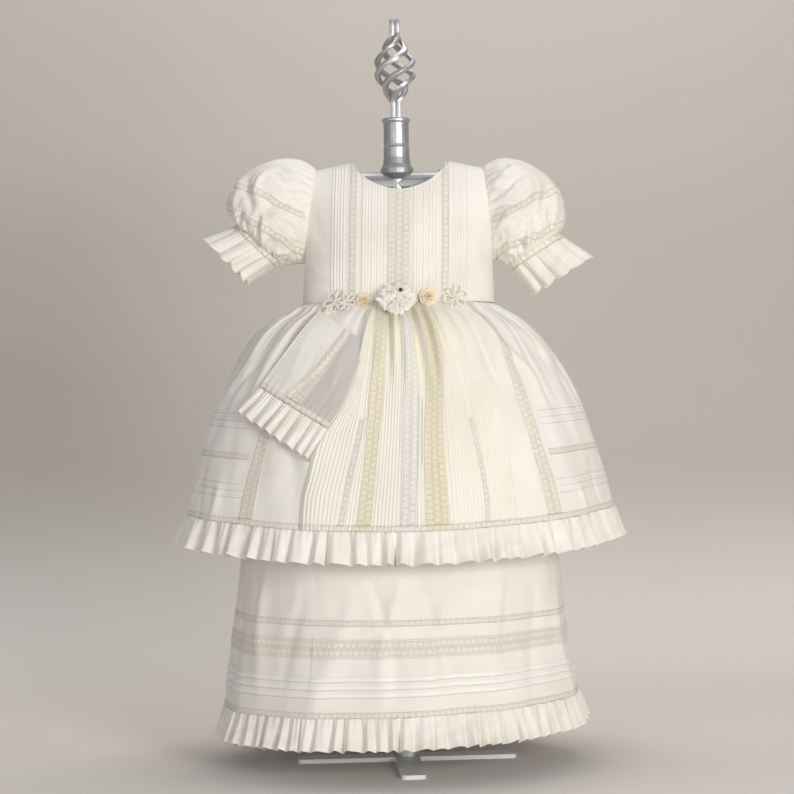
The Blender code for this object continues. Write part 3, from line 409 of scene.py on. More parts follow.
def make_feather(name):
    """Soft white feather and tulle, a little creamier in patches."""
    f = Finish(name)
    tone = f.noise(160.0, 3.0, f.position())
    colour = f.mix(f.smooth(tone, 0.3, 0.7), FEATHER, FEATHER_SHADE)
    return f.surface(base_color=colour, roughness=0.8, sheen_weight=0.15,
                     normal=f.bump(tone, 0.0002, 0.3))


def make_pearl(name):
    """Pearl shell with a clear coat."""
    f = Finish(name)
    tone = f.noise(320.0, 2.0, f.position())
    colour = f.mix(f.smooth(tone, 0.35, 0.65), PEARL, PEARL_SHADE)
    return f.surface(base_color=colour, roughness=0.22, coat_weight=0.4, coat_roughness=0.12,
                     normal=f.bump(tone, 0.00008, 0.4))


def make_jet(name):
    """Polished black glass."""
    f = Finish(name)
    tone = f.noise(900.0, 2.0, f.position())
    return f.surface(base_color=f.mix(tone, JET, JET_SHEEN), roughness=0.08,
                     normal=f.bump(tone, 0.00003, 0.3))


def make_pewter(name, metallic, light=1.0):
    """Cast metal, bare or under silver paint: faint casting lumps and lighter sharp edges."""
    f = Finish(name)
    place = f.position()
    lumps = f.noise(70.0, 4.0, place)
    specks = f.noise(900.0, 2.0, place)
    edges = f.node("ShaderNodeNewGeometry").outputs["Pointiness"]
    plain, darker, sharp_edge_tone = (tuple(light * c for c in shade)
                             for shade in (PEWTER, PEWTER_DARK, PEWTER_LIGHT))
    colour = f.mix(f.smooth(lumps, 0.35, 0.68), plain, darker)
    # Lighter on the sharp outer edges
    colour = f.mix(f.smooth(edges, 0.50, 0.56), colour, sharp_edge_tone)
    height = f.math("MULTIPLY_ADD", specks, 0.25, lumps)
    return f.surface(base_color=colour, metallic=metallic, normal=f.bump(height, 0.0006, 0.5),
                     roughness=f.math("MULTIPLY_ADD", lumps, 0.24, 0.30))


def make_backdrop(name):
    """Painted studio paper, a touch uneven, that isn't in the way when seen from behind."""
    f = Finish(name)
    cloud = f.noise(0.9, 3.0, f.position())
    grain = f.noise(240.0, 2.0, f.position())
    light = tuple(1.06 * c for c in WALL)
    colour = f.mix(f.smooth(cloud, 0.3, 0.7), WALL, light)
    height = f.node("ShaderNodeSeparateXYZ", {0: f.position()}).outputs["Z"]
    colour = f.mix(f.smooth(height, 0.0, 0.35), FLOOR, colour)
    behind = f.node("ShaderNodeNewGeometry").outputs["Backfacing"]
    return f.surface(base_color=colour, roughness=0.9, alpha=f.math("SUBTRACT", 1.0, behind),
                     normal=f.bump(grain, 0.0002, 0.3))


# Form functions, on whole arrays of points

def lookup(table, column, at):
    """One column of a table at heights, eased between its rows."""
    heights = np.array([row.z for row in table])
    values = np.array([getattr(row, column) for row in table])
    at = np.clip(at, heights[0], heights[-1])
    rows = np.arange(len(values))
    low = np.maximum(rows - 1, 0)
    high = np.minimum(rows + 1, len(values) - 1)
    slopes = (values[high] - values[low]) / (heights[high] - heights[low])
    i = np.clip(np.searchsorted(heights, at, side="right") - 1, 0, len(heights) - 2)
    span = heights[i + 1] - heights[i]
    step = (at - heights[i]) / span
    eased = values[i] + (values[i + 1] - values[i]) * step * step * (3 - 2 * step)
    bow_low = step * (1 - step) ** 2 * slopes[i]
    bow_high = step * step * (1 - step) * slopes[i + 1]
    return eased + span * (bow_low - bow_high)


def ease(value, low, high):
    share = np.clip((value - low) / (high - low), 0, 1)
    return share * share * (3 - 2 * share)


def wave(angle, count):
    """Height of an uneven wave, mostly between -1 and 1."""
    slow = np.sin(3 * angle + 1.1) + 0.6 * np.sin(7 * angle + 0.4)
    return (1 + 0.28 * slow) * np.sin(count * angle + math.pi / 4)


def flute(phase, sharpness=0.75):
    """A wave with broad round crests and narrow valleys, between -1 and 1."""
    return 2 * np.abs(np.sin(phase / 2)) ** sharpness - 1


def ripple(u, v, seed=0.0):
    """Slow unevenness between -1 and 1, for cloth that hangs freely. u and v are in metres."""
    first = np.sin(61 * u + 23 * v + seed) * np.sin(37 * v - 19 * u + 2 * seed)
    second = np.sin(131 * u - 47 * v + 3 * seed) * np.sin(89 * v + 71 * u + seed)
    return 0.65 * first + 0.35 * second


Crease = namedtuple("Crease", "u0 v0 u1 v1 width height")


def creases(u, v, lines):
    """Soft uneven ridges (height above 0) and troughs along lines, in metres on the cloth."""
    total = np.zeros_like(u)
    for line in lines:
        du = line.u1 - line.u0
        dv = line.v1 - line.v0
        length = math.hypot(du, dv)
        share = np.clip(((u - line.u0) * du + (v - line.v0) * dv) / (du * du + dv * dv), 0, 1)
        bend = 0.12 * length * np.sin(3.1 * share + 90 * line.u0)
        away = np.hypot(u - line.u0 - share * du + bend * dv / length,
                        v - line.v0 - share * dv - bend * du / length)
        width = line.width * (1 + 0.3 * np.sin(5.3 * share + 70 * line.v0))
        total = total + line.height * np.exp(-(away / width) ** 2) * np.sin(np.pi * (0.06 + 0.88 * share))
    return total


def ridge(at, places, half):
    """1 on each of the places, falling to 0 half away."""
    nearest = np.min(np.abs(at[..., None] - np.array(places)), axis=-1)
    return np.clip(1 - nearest / half, 0, 1)


# Meshes

def outward(points):
    """Directions out of the cloth at each point of a grid."""
    down = np.gradient(points, axis=0)
    across = np.gradient(points, axis=1)
    out = np.cross(down, across)
    return out / np.maximum(np.linalg.norm(out, axis=-1, keepdims=True), 1e-12)


def raised(base, height):
    """A grid moved out of itself by a height at each point."""
    return base + outward(base) * height[..., None]


def arc(points, axis):
    """Distance run along an axis of a grid, from its first point."""
    steps = np.linalg.norm(np.diff(points, axis=axis), axis=-1)
    start = np.zeros_like(steps[:1] if axis == 0 else steps[:, :1])
    return np.concatenate([start, np.cumsum(steps, axis=axis)], axis=axis)


def link(item, material):
    bpy.context.scene.collection.objects.link(item)
    item.data.materials.append(material)
    return item


def grid_object(name, points, fields, material, closed=False):
    """A sheet of cloth on a grid of points, thickened inward."""
    rows, columns = points.shape[:2]
    kept = columns - 1 if closed else columns
    number = np.arange(rows * kept).reshape(rows, kept)
    if closed:
        number = np.concatenate([number, number[:, :1]], axis=1)
    across = arc(points, 1)
    down = arc(points, 0)
    flat = np.stack([across, np.broadcast_to(down.mean(axis=1, keepdims=True), across.shape)], axis=-1)
    corners = ((0, 0), (1, 0), (1, 1), (0, 1))
    quads = np.stack([number[i:rows - 1 + i, j:columns - 1 + j] for i, j in corners], axis=-1)
    places = np.stack([flat[i:rows - 1 + i, j:columns - 1 + j] for i, j in corners], axis=-2)
    quads = quads.reshape(-1, 4)
    mesh = bpy.data.meshes.new(name)
    mesh.vertices.add(rows * kept)
    mesh.vertices.foreach_set("co", points[:, :kept].reshape(-1).astype(np.float32))
    mesh.loops.add(quads.size)
    mesh.loops.foreach_set("vertex_index", quads.reshape(-1).astype(np.int32))
    mesh.polygons.add(len(quads))
    mesh.polygons.foreach_set("loop_start", np.arange(0, quads.size, 4, dtype=np.int32))
    mesh.update(calc_edges=True)
    layer = mesh.uv_layers.new(name="cloth")
    layer.data.foreach_set("uv", places.reshape(-1).astype(np.float32))
    for key, values in fields.items():
        held = mesh.attributes.new(key, "FLOAT", "POINT")
        filled = np.broadcast_to(values, points.shape[:2])[:, :kept]
        held.data.foreach_set("value", np.ascontiguousarray(filled).reshape(-1).astype(np.float32))
    mesh.shade_smooth()
    used = np.zeros(len(mesh.loops), np.int32)
    mesh.loops.foreach_get("edge_index", used)
    rim = np.bincount(used, minlength=len(mesh.edges)) == 1
    mesh.attributes.new("sharp_edge", "BOOLEAN", "EDGE").data.foreach_set("value", rim)
    item = link(bpy.data.objects.new(f"{name}_cloth", mesh), material)
    solid = item.modifiers.new("cloth", "SOLIDIFY")
    solid.thickness = SHEET_THICKNESS
    solid.offset = -1
    return item


def finish_piece(item, node):
    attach(item, "root")
    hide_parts(node)


def make_sheet(name, points, fields, material, closed=False):
    """A sheet of cloth that stands for the solid of the same name."""
    item = grid_object(name, points, fields, material, closed)
    finish_piece(item, name)
    return item, points


def declare_sheet(item, points, held, rests_on, with_pieces=()):
    width = float(arc(points, 1)[:, -1].max())
    length = float(arc(points, 0)[-1].max())
    sides = np.cross(points[1:, :-1] - points[:-1, :-1], points[:-1, 1:] - points[:-1, :-1])
    others = np.cross(points[1:, 1:] - points[1:, :-1], points[1:, 1:] - points[:-1, 1:])
    area = float((np.linalg.norm(sides, axis=-1).sum() + np.linalg.norm(others, axis=-1).sum()) / 2)
    area = min(max(area, 0.301 * width * length), width * length)


def no_lace(shape):
    """The fields of plain cloth."""
    fields = {name: np.zeros(shape) for name in ("lace_y", "lace_half", "lace_rows", "warm", "reverse")}
    fields["lace_x"] = np.full(shape, FAR)
    return fields


def lay_lace(fields, across, along, half, where):
    """Puts a band of lace into the fields where it is, across and along in metres."""
    margin = np.where(fields["lace_half"] > 0, 0.0002, 0.0030)
    inside = where & (np.abs(across) < half + margin)
    fields["lace_x"] = np.where(inside, across, fields["lace_x"])
    fields["lace_y"] = np.where(inside, along, fields["lace_y"])
    fields["lace_half"] = np.where(inside, half, fields["lace_half"])
    fields["lace_rows"] = np.where(inside, max(1, round(float(np.max(half)) / 0.0052)), fields["lace_rows"])


def warm_lace(fields, warmth):
    """Makes the bands of lace creamier than the cloth round them."""
    banded = np.abs(fields["lace_x"]) < fields["lace_half"] + 0.0003
    fields["warm"] = np.where(banded, np.maximum(fields["warm"], warmth), fields["warm"])


def lace_relief(across, half, height=0.0005):
    """How far a band of lace stands out of the cloth."""
    return height * (1 - ease(np.abs(across), half - 0.0006, half + 0.0004))


# The skirts

# The overskirt's top turns squarer from here up to the waist
SQUARE_FROM_Z = 0.560
# Edges of the gores and of the ruffles' lengths, in degrees
FRONT_EDGE = 32.14
GORE_EDGES = {"front": (-FRONT_EDGE, FRONT_EDGE), "right": (FRONT_EDGE, 109.29),
              "back": (109.29, 250.71), "left": (250.71, 327.86)}
RUFFLE_EDGES = {"front": (-FRONT_EDGE, FRONT_EDGE), "right": (FRONT_EDGE, 112.5),
                "back": (112.5, 247.5), "left": (247.5, 327.86)}
UNDERSKIRT_EDGES = {"front": (-30.0, 30.0), "right": (30.0, 112.5), "back": (112.5, 247.5),
                    "left": (247.5, 330.0)}


def skirt_points(table, angle, z, offset):
    """Points of a skirt, moved out by an offset. The overskirt's top follows the squarer bodice."""
    wide = lookup(table, "half_width", z)
    deep = lookup(table, "half_depth", z)
    out_x = np.sin(angle) / wide
    out_y = -np.cos(angle) / deep
    size = np.hypot(out_x, out_y)
    squared = (np.abs(np.sin(angle)) ** BODY_SQUARENESS + np.abs(np.cos(angle)) ** BODY_SQUARENESS)
    corner = (squared ** (-1 / BODY_SQUARENESS) - 1) * ease(z, SQUARE_FROM_Z, WAIST_Z) * (table is OVERSKIRT)
    return np.stack([SKIRT_CENTRE_X + wide * np.sin(angle) * (1 + corner) + out_x / size * offset,
                     -deep * np.cos(angle) * (1 + corner) + out_y / size * offset,
                     z + 0 * angle], axis=-1)


def metres_per_turn(table, angle, z):
    """Metres along a skirt for each radian round it."""
    wide = lookup(table, "half_width", z)
    deep = lookup(table, "half_depth", z)
    return np.hypot(wide * np.cos(angle), deep * np.sin(angle))


def run_along(angle, turn):
    """Distance round the skirt along each row, from its first column."""
    steps = np.diff(angle, axis=1) * (turn[:, 1:] + turn[:, :-1]) / 2
    return np.concatenate([np.zeros((len(angle), 1)), np.cumsum(steps, axis=1)], axis=1)


def overskirt_hem(angle):
    return OVERSKIRT_HEM_Z + OVERSKIRT_SIDE_RISE * np.sin(angle) ** 2


def underskirt_hem(angle):
    return UNDERSKIRT_HEM_Z + UNDERSKIRT_HEM_TILT * np.sin(angle)


def overskirt_offset(angle, z):
    """Gathers below the waist that open into a few soft folds towards the hem."""
    gather = lookup(OVERSKIRT, "gather", z) * wave(angle, WAIST_GATHERS) * ease(WAIST_Z - z, 0.0, 0.004)
    fall = np.clip((WAIST_Z - z) / FOLD_REACH, 0, 1)
    fold = np.sin(FOLD_COUNT * angle + 0.9 * np.sin(2 * angle))
    return gather + FOLD_HEIGHT * fall ** 1.5 * fold


def underskirt_offset(angle, z):
    """A few low folds towards the hem."""
    fall = np.clip((0.40 - z) / 0.30, 0, 1)
    return 0.6 * FOLD_HEIGHT * fall * np.sin((FOLD_COUNT + 2) * angle + 1.3)


# Where the lace bands of the front panel run: height, angle in degrees, half width
BandPlace = namedtuple("BandPlace", "z angle half")
CENTRE_BAND = [BandPlace(0.290, 2.0, 0.0096), BandPlace(0.360, 2.9, 0.0100), BandPlace(0.436, 3.9, 0.0108),
               BandPlace(0.506, 5.0, 0.0075), BandPlace(0.573, 4.8, 0.0050)]
LEFT_CREAM_BAND = [BandPlace(0.290, -9.3, 0.0090), BandPlace(0.370, -7.7, 0.0080),
                   BandPlace(0.414, -6.9, 0.0081), BandPlace(0.459, -6.4, 0.0088),
                   BandPlace(0.505, -5.9, 0.0074), BandPlace(0.573, -5.6, 0.0050)]
RIGHT_CREAM_BAND = [BandPlace(0.290, 9.5, 0.0150), BandPlace(0.339, 9.6, 0.0138),
                    BandPlace(0.414, 10.2, 0.0118), BandPlace(0.517, 13.3, 0.0090),
                    BandPlace(0.573, 13.6, 0.0060)]
LEFT_NARROW_BAND = [BandPlace(0.290, -15.3, 0.0030), BandPlace(0.359, -13.2, 0.0030),
                    BandPlace(0.399, -11.4, 0.0030), BandPlace(0.432, -10.4, 0.0026),
                    BandPlace(0.573, -9.0, 0.0020)]
RIGHT_NARROW_BAND = [BandPlace(0.290, 22.6, 0.0030), BandPlace(0.348, 23.2, 0.0030),
                     BandPlace(0.426, 21.9, 0.0028), BandPlace(0.573, 20.4, 0.0020)]
PANEL_EDGE = [BandPlace(0.290, -25.0, 0), BandPlace(0.337, -25.8, 0), BandPlace(0.360, -24.8, 0),
              BandPlace(0.415, -22.3, 0), BandPlace(0.433, -19.4, 0), BandPlace(0.4735, -15.2, 0),
              BandPlace(0.519, -12.4, 0), BandPlace(0.573, -11.4, 0)]
NARROW_TOP_Z = 0.432
PANEL_TUCKS_FROM = -24.1
PANEL_TUCK_STEP = 0.92
PANEL_TUCK_HALF = 0.17
FRONT_LINES = [PANEL_EDGE, LEFT_NARROW_BAND, LEFT_CREAM_BAND, CENTRE_BAND, RIGHT_CREAM_BAND,
               RIGHT_NARROW_BAND]


def front_columns():
    """Columns of the front panel as angles at the hem, and the angles of its tucks."""
    first, last = GORE_EDGES["front"]
    bands = []
    for line in FRONT_LINES[1:]:
        width = math.degrees(line[0].half / 0.27) + 0.35
        bands.append((line[0].angle - width, line[0].angle + width))
    tucks = []
    place = PANEL_TUCKS_FROM
    while place < last - 0.8:
        if not any(low < place < high for low, high in bands):
            tucks.append(place)
        place += PANEL_TUCK_STEP
    columns = list(np.arange(first, -25.0, 0.55)) + [-25.1, -25.0, -24.9]
    for tuck in tucks:
        columns += [tuck - PANEL_TUCK_HALF, tuck, tuck + 0.13, tuck + 0.45]
    for low, high in bands:
        columns += list(np.arange(low + 0.1, high, 0.27))
    columns += [last - 0.4, last]
    return np.array(sorted(columns)), tucks


def panel_angles(columns, z):
    """Angles of the columns at a height, so that the bands and tucks run with the panel."""
    edge = GORE_EDGES["front"]
    at_hem = [edge[0]] + [line[0].angle for line in FRONT_LINES] + [edge[1]]
    here = [edge[0]] + [float(lookup(line, "angle", z)) for line in FRONT_LINES] + [edge[1]]
    return np.interp(columns, at_hem, here)


def skirt_gathers(angle, z):
    """Fine uneven gathers right under the waist seam."""
    high = ease(z, 0.500, 0.566)
    low = ease(z, 0.440, 0.560)
    size = 1 + 0.5 * np.sin(5 * angle + 0.7) + 0.3 * np.sin(11 * angle)
    fine = np.sin(73 * angle + 1.4 * np.sin(4 * angle)) + 0.5 * np.sin(117 * angle + 2 * np.sin(3 * angle))
    start = ease(WAIST_Z - z, 0.0, 0.004)
    return start * (0.0012 * high * size * fine
                    + 0.0021 * low * flute(41 * angle + 1.8 * np.sin(3 * angle + 1), 0.85))


# Deep gathers of the front panel under the flower: angle, half width in degrees, height,
# and the height where each has died out
Gather = namedtuple("Gather", "angle half height end_z")
FRONT_GATHERS = [
    Gather(-17.5, 1.7, 0.0042, 0.500), Gather(-14.6, 1.0, -0.0030, 0.505),
    Gather(-12.0, 1.3, 0.0040, 0.485), Gather(-9.6, 0.9, -0.0034, 0.490),
    Gather(-5.7, 1.9, 0.0036, 0.470), Gather(-2.6, 1.0, -0.0040, 0.465),
    Gather(-0.9, 1.0, 0.0036, 0.490), Gather(1.2, 0.9, -0.0038, 0.470),
    Gather(5.0, 2.2, 0.0030, 0.460), Gather(8.4, 1.1, -0.0042, 0.450),
    Gather(10.6, 1.2, 0.0042, 0.480), Gather(12.6, 0.8, -0.0036, 0.462),
    Gather(15.0, 1.4, 0.0044, 0.470), Gather(17.6, 1.0, -0.0036, 0.480),
    Gather(20.4, 1.5, 0.0034, 0.500), Gather(24.0, 1.2, -0.0026, 0.505),
]
FRONT_GATHER_SCALE = 1.45


def front_gathers(angle, z):
    """Deep gathers that fan out below the flower."""
    total = np.zeros_like(angle)
    degrees = np.degrees(angle)
    for gather in FRONT_GATHERS:
        fade = ease(z, gather.end_z - 0.020, gather.end_z + 0.045) * (1 - ease(z, 0.556, WAIST_Z - 0.0005))
        spread = gather.half * (1 + 0.8 * (1 - ease(z, gather.end_z, 0.56)))
        total = total + (FRONT_GATHER_SCALE * gather.height * fade
                         * np.exp(-((degrees - gather.angle) / spread) ** 2))
    return total


# Soft creases of the hanging skirt. Across is the angle in degrees times 4 mm, down is
# the distance below the waist.
SKIRT_CREASES = [
    Crease(-0.120, 0.020, -0.150, 0.120, 0.010, 0.0030),
    Crease(-0.135, 0.030, -0.190, 0.150, 0.009, -0.0030),
    Crease(-0.185, 0.010, -0.235, 0.130, 0.012, 0.0034),
    Crease(-0.215, 0.040, -0.270, 0.170, 0.009, -0.0026),
    Crease(-0.250, 0.015, -0.300, 0.110, 0.011, 0.0030),
    Crease(-0.330, 0.020, -0.330, 0.140, 0.013, 0.0032),
    Crease(-0.360, 0.030, -0.380, 0.160, 0.010, -0.0030),
    Crease(-0.235, 0.215, -0.225, 0.262, 0.008, 0.0022),
    Crease(-0.270, 0.190, -0.262, 0.262, 0.007, -0.0022),
    Crease(-0.300, 0.205, -0.296, 0.262, 0.008, 0.0020),
    Crease(-0.118, 0.150, -0.122, 0.262, 0.012, -0.0024),
    Crease(0.135, 0.020, 0.160, 0.130, 0.010, -0.0030),
    Crease(0.160, 0.015, 0.200, 0.120, 0.011, 0.0034),
    Crease(0.200, 0.030, 0.245, 0.150, 0.010, -0.0028),
    Crease(0.235, 0.015, 0.290, 0.120, 0.012, 0.0030),
    Crease(0.300, 0.020, 0.330, 0.150, 0.011, -0.0030),
    Crease(0.350, 0.020, 0.360, 0.140, 0.013, 0.0032),
    Crease(0.232, 0.220, 0.226, 0.262, 0.008, 0.0022),
    Crease(0.285, 0.200, 0.276, 0.262, 0.007, -0.0022),
    Crease(0.470, 0.015, 0.455, 0.140, 0.013, 0.0036),
    Crease(0.520, 0.020, 0.510, 0.170, 0.011, -0.0032),
    Crease(0.580, 0.015, 0.590, 0.150, 0.014, 0.0036),
    Crease(0.640, 0.020, 0.655, 0.180, 0.011, -0.0032),
    Crease(0.705, 0.015, 0.700, 0.150, 0.013, 0.0034),
    Crease(0.765, 0.020, 0.755, 0.160, 0.011, -0.0030),
    Crease(0.830, 0.015, 0.850, 0.150, 0.014, 0.0034),
    Crease(0.900, 0.020, 0.915, 0.170, 0.011, -0.0032),
    Crease(0.965, 0.015, 0.985, 0.150, 0.013, 0.0034),
]
SKIRT_CREASE_SCALE = 1.5
DEGREE = 0.0040


def crease_place(angle):
    """Place across a skirt's creases: 0 at the middle of the front and negative on the left."""
    degrees = np.degrees(angle)
    return np.where(degrees > 260, degrees - 360, degrees) * DEGREE


# How far the hem seam is below the waist at the sides and the front, and the rows of the side
# and back gores as shares of that
SIDE_DROP = 0.257
FRONT_DROP = 0.272
TUCK_SHARES = [0.500, 0.531, 0.562, 0.812, 0.843, 0.874]
LACE_ROW_SHARE = 0.700
LACE_ROW_HALF = 0.0036
HEM_LACE_HALF = 0.0036
SIDE_BAND = [BandPlace(0.290, 43.4, 0.0105), BandPlace(0.348, 43.2, 0.0108), BandPlace(0.394, 42.0, 0.0086),
             BandPlace(0.460, 41.5, 0.0080), BandPlace(0.573, 44.0, 0.0048)]
SIDE_BAND_AT = 43.0
SIDE_BAND_REACH = 3.0
SIDE_ROWS_FROM = 46.0
TUCK_SLIT_SHARE = 0.0120
HEM_LACE_ROWS = (0.0, 0.0010, 0.0034, 0.0058, 0.0066, 0.0074)
NEAR_ROW = 0.0032


def with_rows(shares, near):
    """Adds rows at places, in place of the rows that lie close to them."""
    kept = [s for s in shares if min(abs(s - n) for n in near) > NEAR_ROW]
    return np.array(sorted(kept + list(near)))


def hem_lace(fields, angle, z, seam, turn):
    """The narrow lace sewn over the seam above the ruffle."""
    across = z - seam - HEM_LACE_HALF + 0.0004
    lay_lace(fields, across, run_along(angle, turn), HEM_LACE_HALF, np.full(z.shape, True))
    return lace_relief(across, HEM_LACE_HALF, 0.0006)


def from_band(line, angle, z, turn):
    """Metres across from the middle of a band."""
    return (np.degrees(angle) - lookup(line, "angle", z)) * np.pi / 180 * turn


def front_relief(columns, tucks, angle, z, fields, turn):
    """Tucks, lace and cream bands of the front panel."""
    column = np.broadcast_to(columns, angle.shape)
    standing = 0.0011 * (0.45 + 0.55 * (1 - ease(z, 0.43, 0.55)))
    height = standing * ridge(column, tucks, PANEL_TUCK_HALF)
    edge_step = ease(column, -25.1, -24.95)
    height = height + 0.0018 * edge_step * (1 - ease(column, -24.0, -18.0))
    for line in FRONT_LINES[1:]:
        across = from_band(line, angle, z, turn)
        half = lookup(line, "half", z)
        narrow = line in (LEFT_NARROW_BAND, RIGHT_NARROW_BAND)
        where = z < (NARROW_TOP_Z if narrow else WAIST_Z + 1)
        lay_lace(fields, across, WAIST_Z - z, half, where)
        height = height + lace_relief(across, half) * where
    fields["warm"] = 0.35 * edge_step
    for line, warmth, end in ((RIGHT_CREAM_BAND, 1.0, 1.1), (LEFT_CREAM_BAND, 0.8, 1.2)):
        away = np.abs(from_band(line, angle, z, turn))
        half = lookup(line, "half", z)
        cream = warmth * (1 - ease(away, half * 0.8, half * end))
        fields["warm"] = np.maximum(fields["warm"], cream)
    middle = np.abs(from_band(CENTRE_BAND, angle, z, turn)) < lookup(CENTRE_BAND, "half", z) + 0.0004
    fields["warm"] = np.where(middle, 0.25, fields["warm"])
    return height


def side_columns(label):
    """Columns of a side or back gore, in degrees, closer together along a side's band of lace."""
    first, last = GORE_EDGES[label]
    columns = np.arange(first, last, 0.80 if label == "back" else 0.62)
    if label != "back":
        middle = SIDE_BAND_AT if label == "right" else 360 - SIDE_BAND_AT
        columns = np.concatenate([columns[np.abs(columns - middle) > SIDE_BAND_REACH],
                                  np.arange(middle - SIDE_BAND_REACH, middle + SIDE_BAND_REACH, 0.30)])
    return np.sort(np.append(columns, last))


def front_shares():
    shares = np.concatenate([np.linspace(0, 0.30, 38, endpoint=False), np.linspace(0.30, 1, 76)])
    return with_rows(shares, [1 - d / FRONT_DROP for d in HEM_LACE_ROWS])


def side_shares():
    near = [s + d for s in TUCK_SHARES for d in (-0.0040, 0.0, 0.0030, 0.0075, 0.0120, 0.0165)]
    near += [LACE_ROW_SHARE + d / SIDE_DROP for d in (-0.0044, -0.0036, 0.0, 0.0036, 0.0044)]
    near += [1 - d / SIDE_DROP for d in HEM_LACE_ROWS]
    return with_rows(np.linspace(0, 1, 96), near)


def add_side_rows(height, label, shares, angle, z, seam, turn, fields):
    """Adds the tucks, the row of lace and the upright band of a side or back gore."""
    around = np.minimum(np.degrees(angle), 360 - np.degrees(angle))
    beyond = ease(around, SIDE_ROWS_FROM, SIDE_ROWS_FROM + 1.5)
    share = np.broadcast_to(shares[:, None], z.shape)
    height = height + 0.0007 * ridge(share, TUCK_SHARES, 0.0042) * beyond
    # Painted shade in the slit under each tuck, which is also a little see-through
    fields["open"] = ridge(share, [s + TUCK_SLIT_SHARE for s in TUCK_SHARES], 0.0046) * beyond
    row_z = WAIST_Z - LACE_ROW_SHARE * (WAIST_Z - seam)
    lay_lace(fields, z - row_z, run_along(angle, turn), LACE_ROW_HALF, around > SIDE_ROWS_FROM)
    height = height + lace_relief(z - row_z, LACE_ROW_HALF) * beyond
    sign = -1 if label == "left" else 1
    across = sign * (around - lookup(SIDE_BAND, "angle", z)) * np.pi / 180 * turn
    half = lookup(SIDE_BAND, "half", z)
    lay_lace(fields, across, WAIST_Z - z, half, around < SIDE_ROWS_FROM + 4)
    return height + lace_relief(across, half)


def make_overskirt_gore(label, cotton):
    front = label == "front"
    if front:
        columns, tucks = front_columns()
        shares = front_shares()
    else:
        columns = side_columns(label)
        shares = side_shares()
    columns[0] += SEAM_TURN
    columns[-1] -= SEAM_TURN
    if front:
        levels = WAIST_Z - shares * (WAIST_Z - OVERSKIRT_HEM_Z - OVERSKIRT_RUFFLE_DEPTH)
        angle = np.radians(np.stack([panel_angles(columns, level) for level in levels]))
    else:
        angle = np.radians(np.broadcast_to(columns, (len(shares), len(columns))))
    seam = overskirt_hem(angle) + OVERSKIRT_RUFFLE_DEPTH
    top = WAIST_Z + 0.00025
    z = top - shares[:, None] * (top - seam)
    turn = metres_per_turn(OVERSKIRT, angle, z)
    fields = no_lace(z.shape)
    inside = ease(FRONT_EDGE - np.abs(np.degrees(angle)), 0.0, 6.0) if front else 0.0
    height = skirt_gathers(angle, z) * (1 - 0.5 * inside)
    height += SKIRT_CREASE_SCALE * creases(crease_place(angle), WAIST_Z - z, SKIRT_CREASES)
    height += 0.0010 * ripple(angle * 0.25, z, 1.0) * ease(WAIST_Z - z, 0.0, 0.05)
    if front:
        gathered = front_gathers(angle, z) * inside
        height += gathered + front_relief(columns, tucks, angle, z, fields, turn)
        # Warm shade is painted into the troughs of the deep gathers
        fields["warm"] = np.maximum(fields["warm"], 0.9 * np.clip(-gathered / 0.0030, 0, 1))
    else:
        height = add_side_rows(height, label, shares, angle, z, seam, turn, fields)
    height += hem_lace(fields, angle, z, seam, turn)
    warm_lace(fields, 0.20 if front else 0.50)
    points = skirt_points(OVERSKIRT, angle, z, overskirt_offset(angle, z) + height)
    return make_sheet(f"overskirt_{label}", points, fields, cotton)


# Ruffles

def ruffle_phase(angle, count, front_share):
    """Phase of the ruffle's waves, closer together at the front and back than at the sides."""
    return count * angle + front_share * count / 2 * np.sin(2 * angle)


Ruffle = namedtuple("Ruffle", "name table hem offset depth count front_share top_wave end_wave flare")
RUFFLES = [
    Ruffle("overskirt_ruffle", OVERSKIRT, overskirt_hem, overskirt_offset, OVERSKIRT_RUFFLE_DEPTH,
           66, 0.215, 0.0014, 0.0066, 0.0010),
    Ruffle("underskirt_ruffle", UNDERSKIRT, underskirt_hem, underskirt_offset, UNDERSKIRT_RUFFLE_DEPTH,
           72, 0.10, 0.0012, 0.0056, 0.0010),
]
POINTS_PER_WAVE = 17


def make_skirt_ruffle(form, label, finish, seed):
    """One length of a ruffle: uneven flutes that deepen from the seam to the hem."""
    first, last = RUFFLE_EDGES[label]
    count = int((last - first) / 360 * form.count * POINTS_PER_WAVE)
    columns = np.linspace(first + SEAM_TURN, last - SEAM_TURN, count)
    shares = np.array([0.0, 0.06, 0.14, 0.24, 0.36, 0.48, 0.60, 0.72, 0.84, 0.93, 0.985, 1.0])
    angle = np.radians(np.broadcast_to(columns, (len(shares), count)))
    share = np.broadcast_to(shares[:, None], angle.shape)
    wander = 0.9 * np.sin(9 * angle + seed) + 0.75 * np.sin(23 * angle + 2 * seed) + 0.45 * np.sin(37 * angle)
    phase = ruffle_phase(angle, form.count, form.front_share) + wander
    size = 1 + 0.32 * np.sin(19 * angle + seed) + 0.26 * np.sin(43 * angle + 3 * seed)
    swell = form.top_wave + (form.end_wave - form.top_wave) * share ** 0.8
    shape = flute(phase + 0.9 * share * np.sin(13 * angle + seed), 1.0)
    small = (0.00065 * (1 - share) ** 1.5 * np.sin(3.1 * phase + seed)
             + 0.0007 * share * np.sin(1.7 * phase + 2 * np.sin(11 * angle)))
    lip = 0.0012 * ease(share, 0.90, 1.0)
    drop = (form.depth - GAP) * (1 - share)
    curl = 0.0024 * share * shape * size
    z = form.hem(angle) + drop + np.where(share > 0, curl, 0)
    offset = form.offset(angle, z) + form.flare * share + swell * shape * size + small + lip
    points = skirt_points(form.table, angle, z, offset)
    fields = {"hem": form.depth * (1 - share)}
    return make_sheet(f"{form.name}_{label}", points, fields, finish)


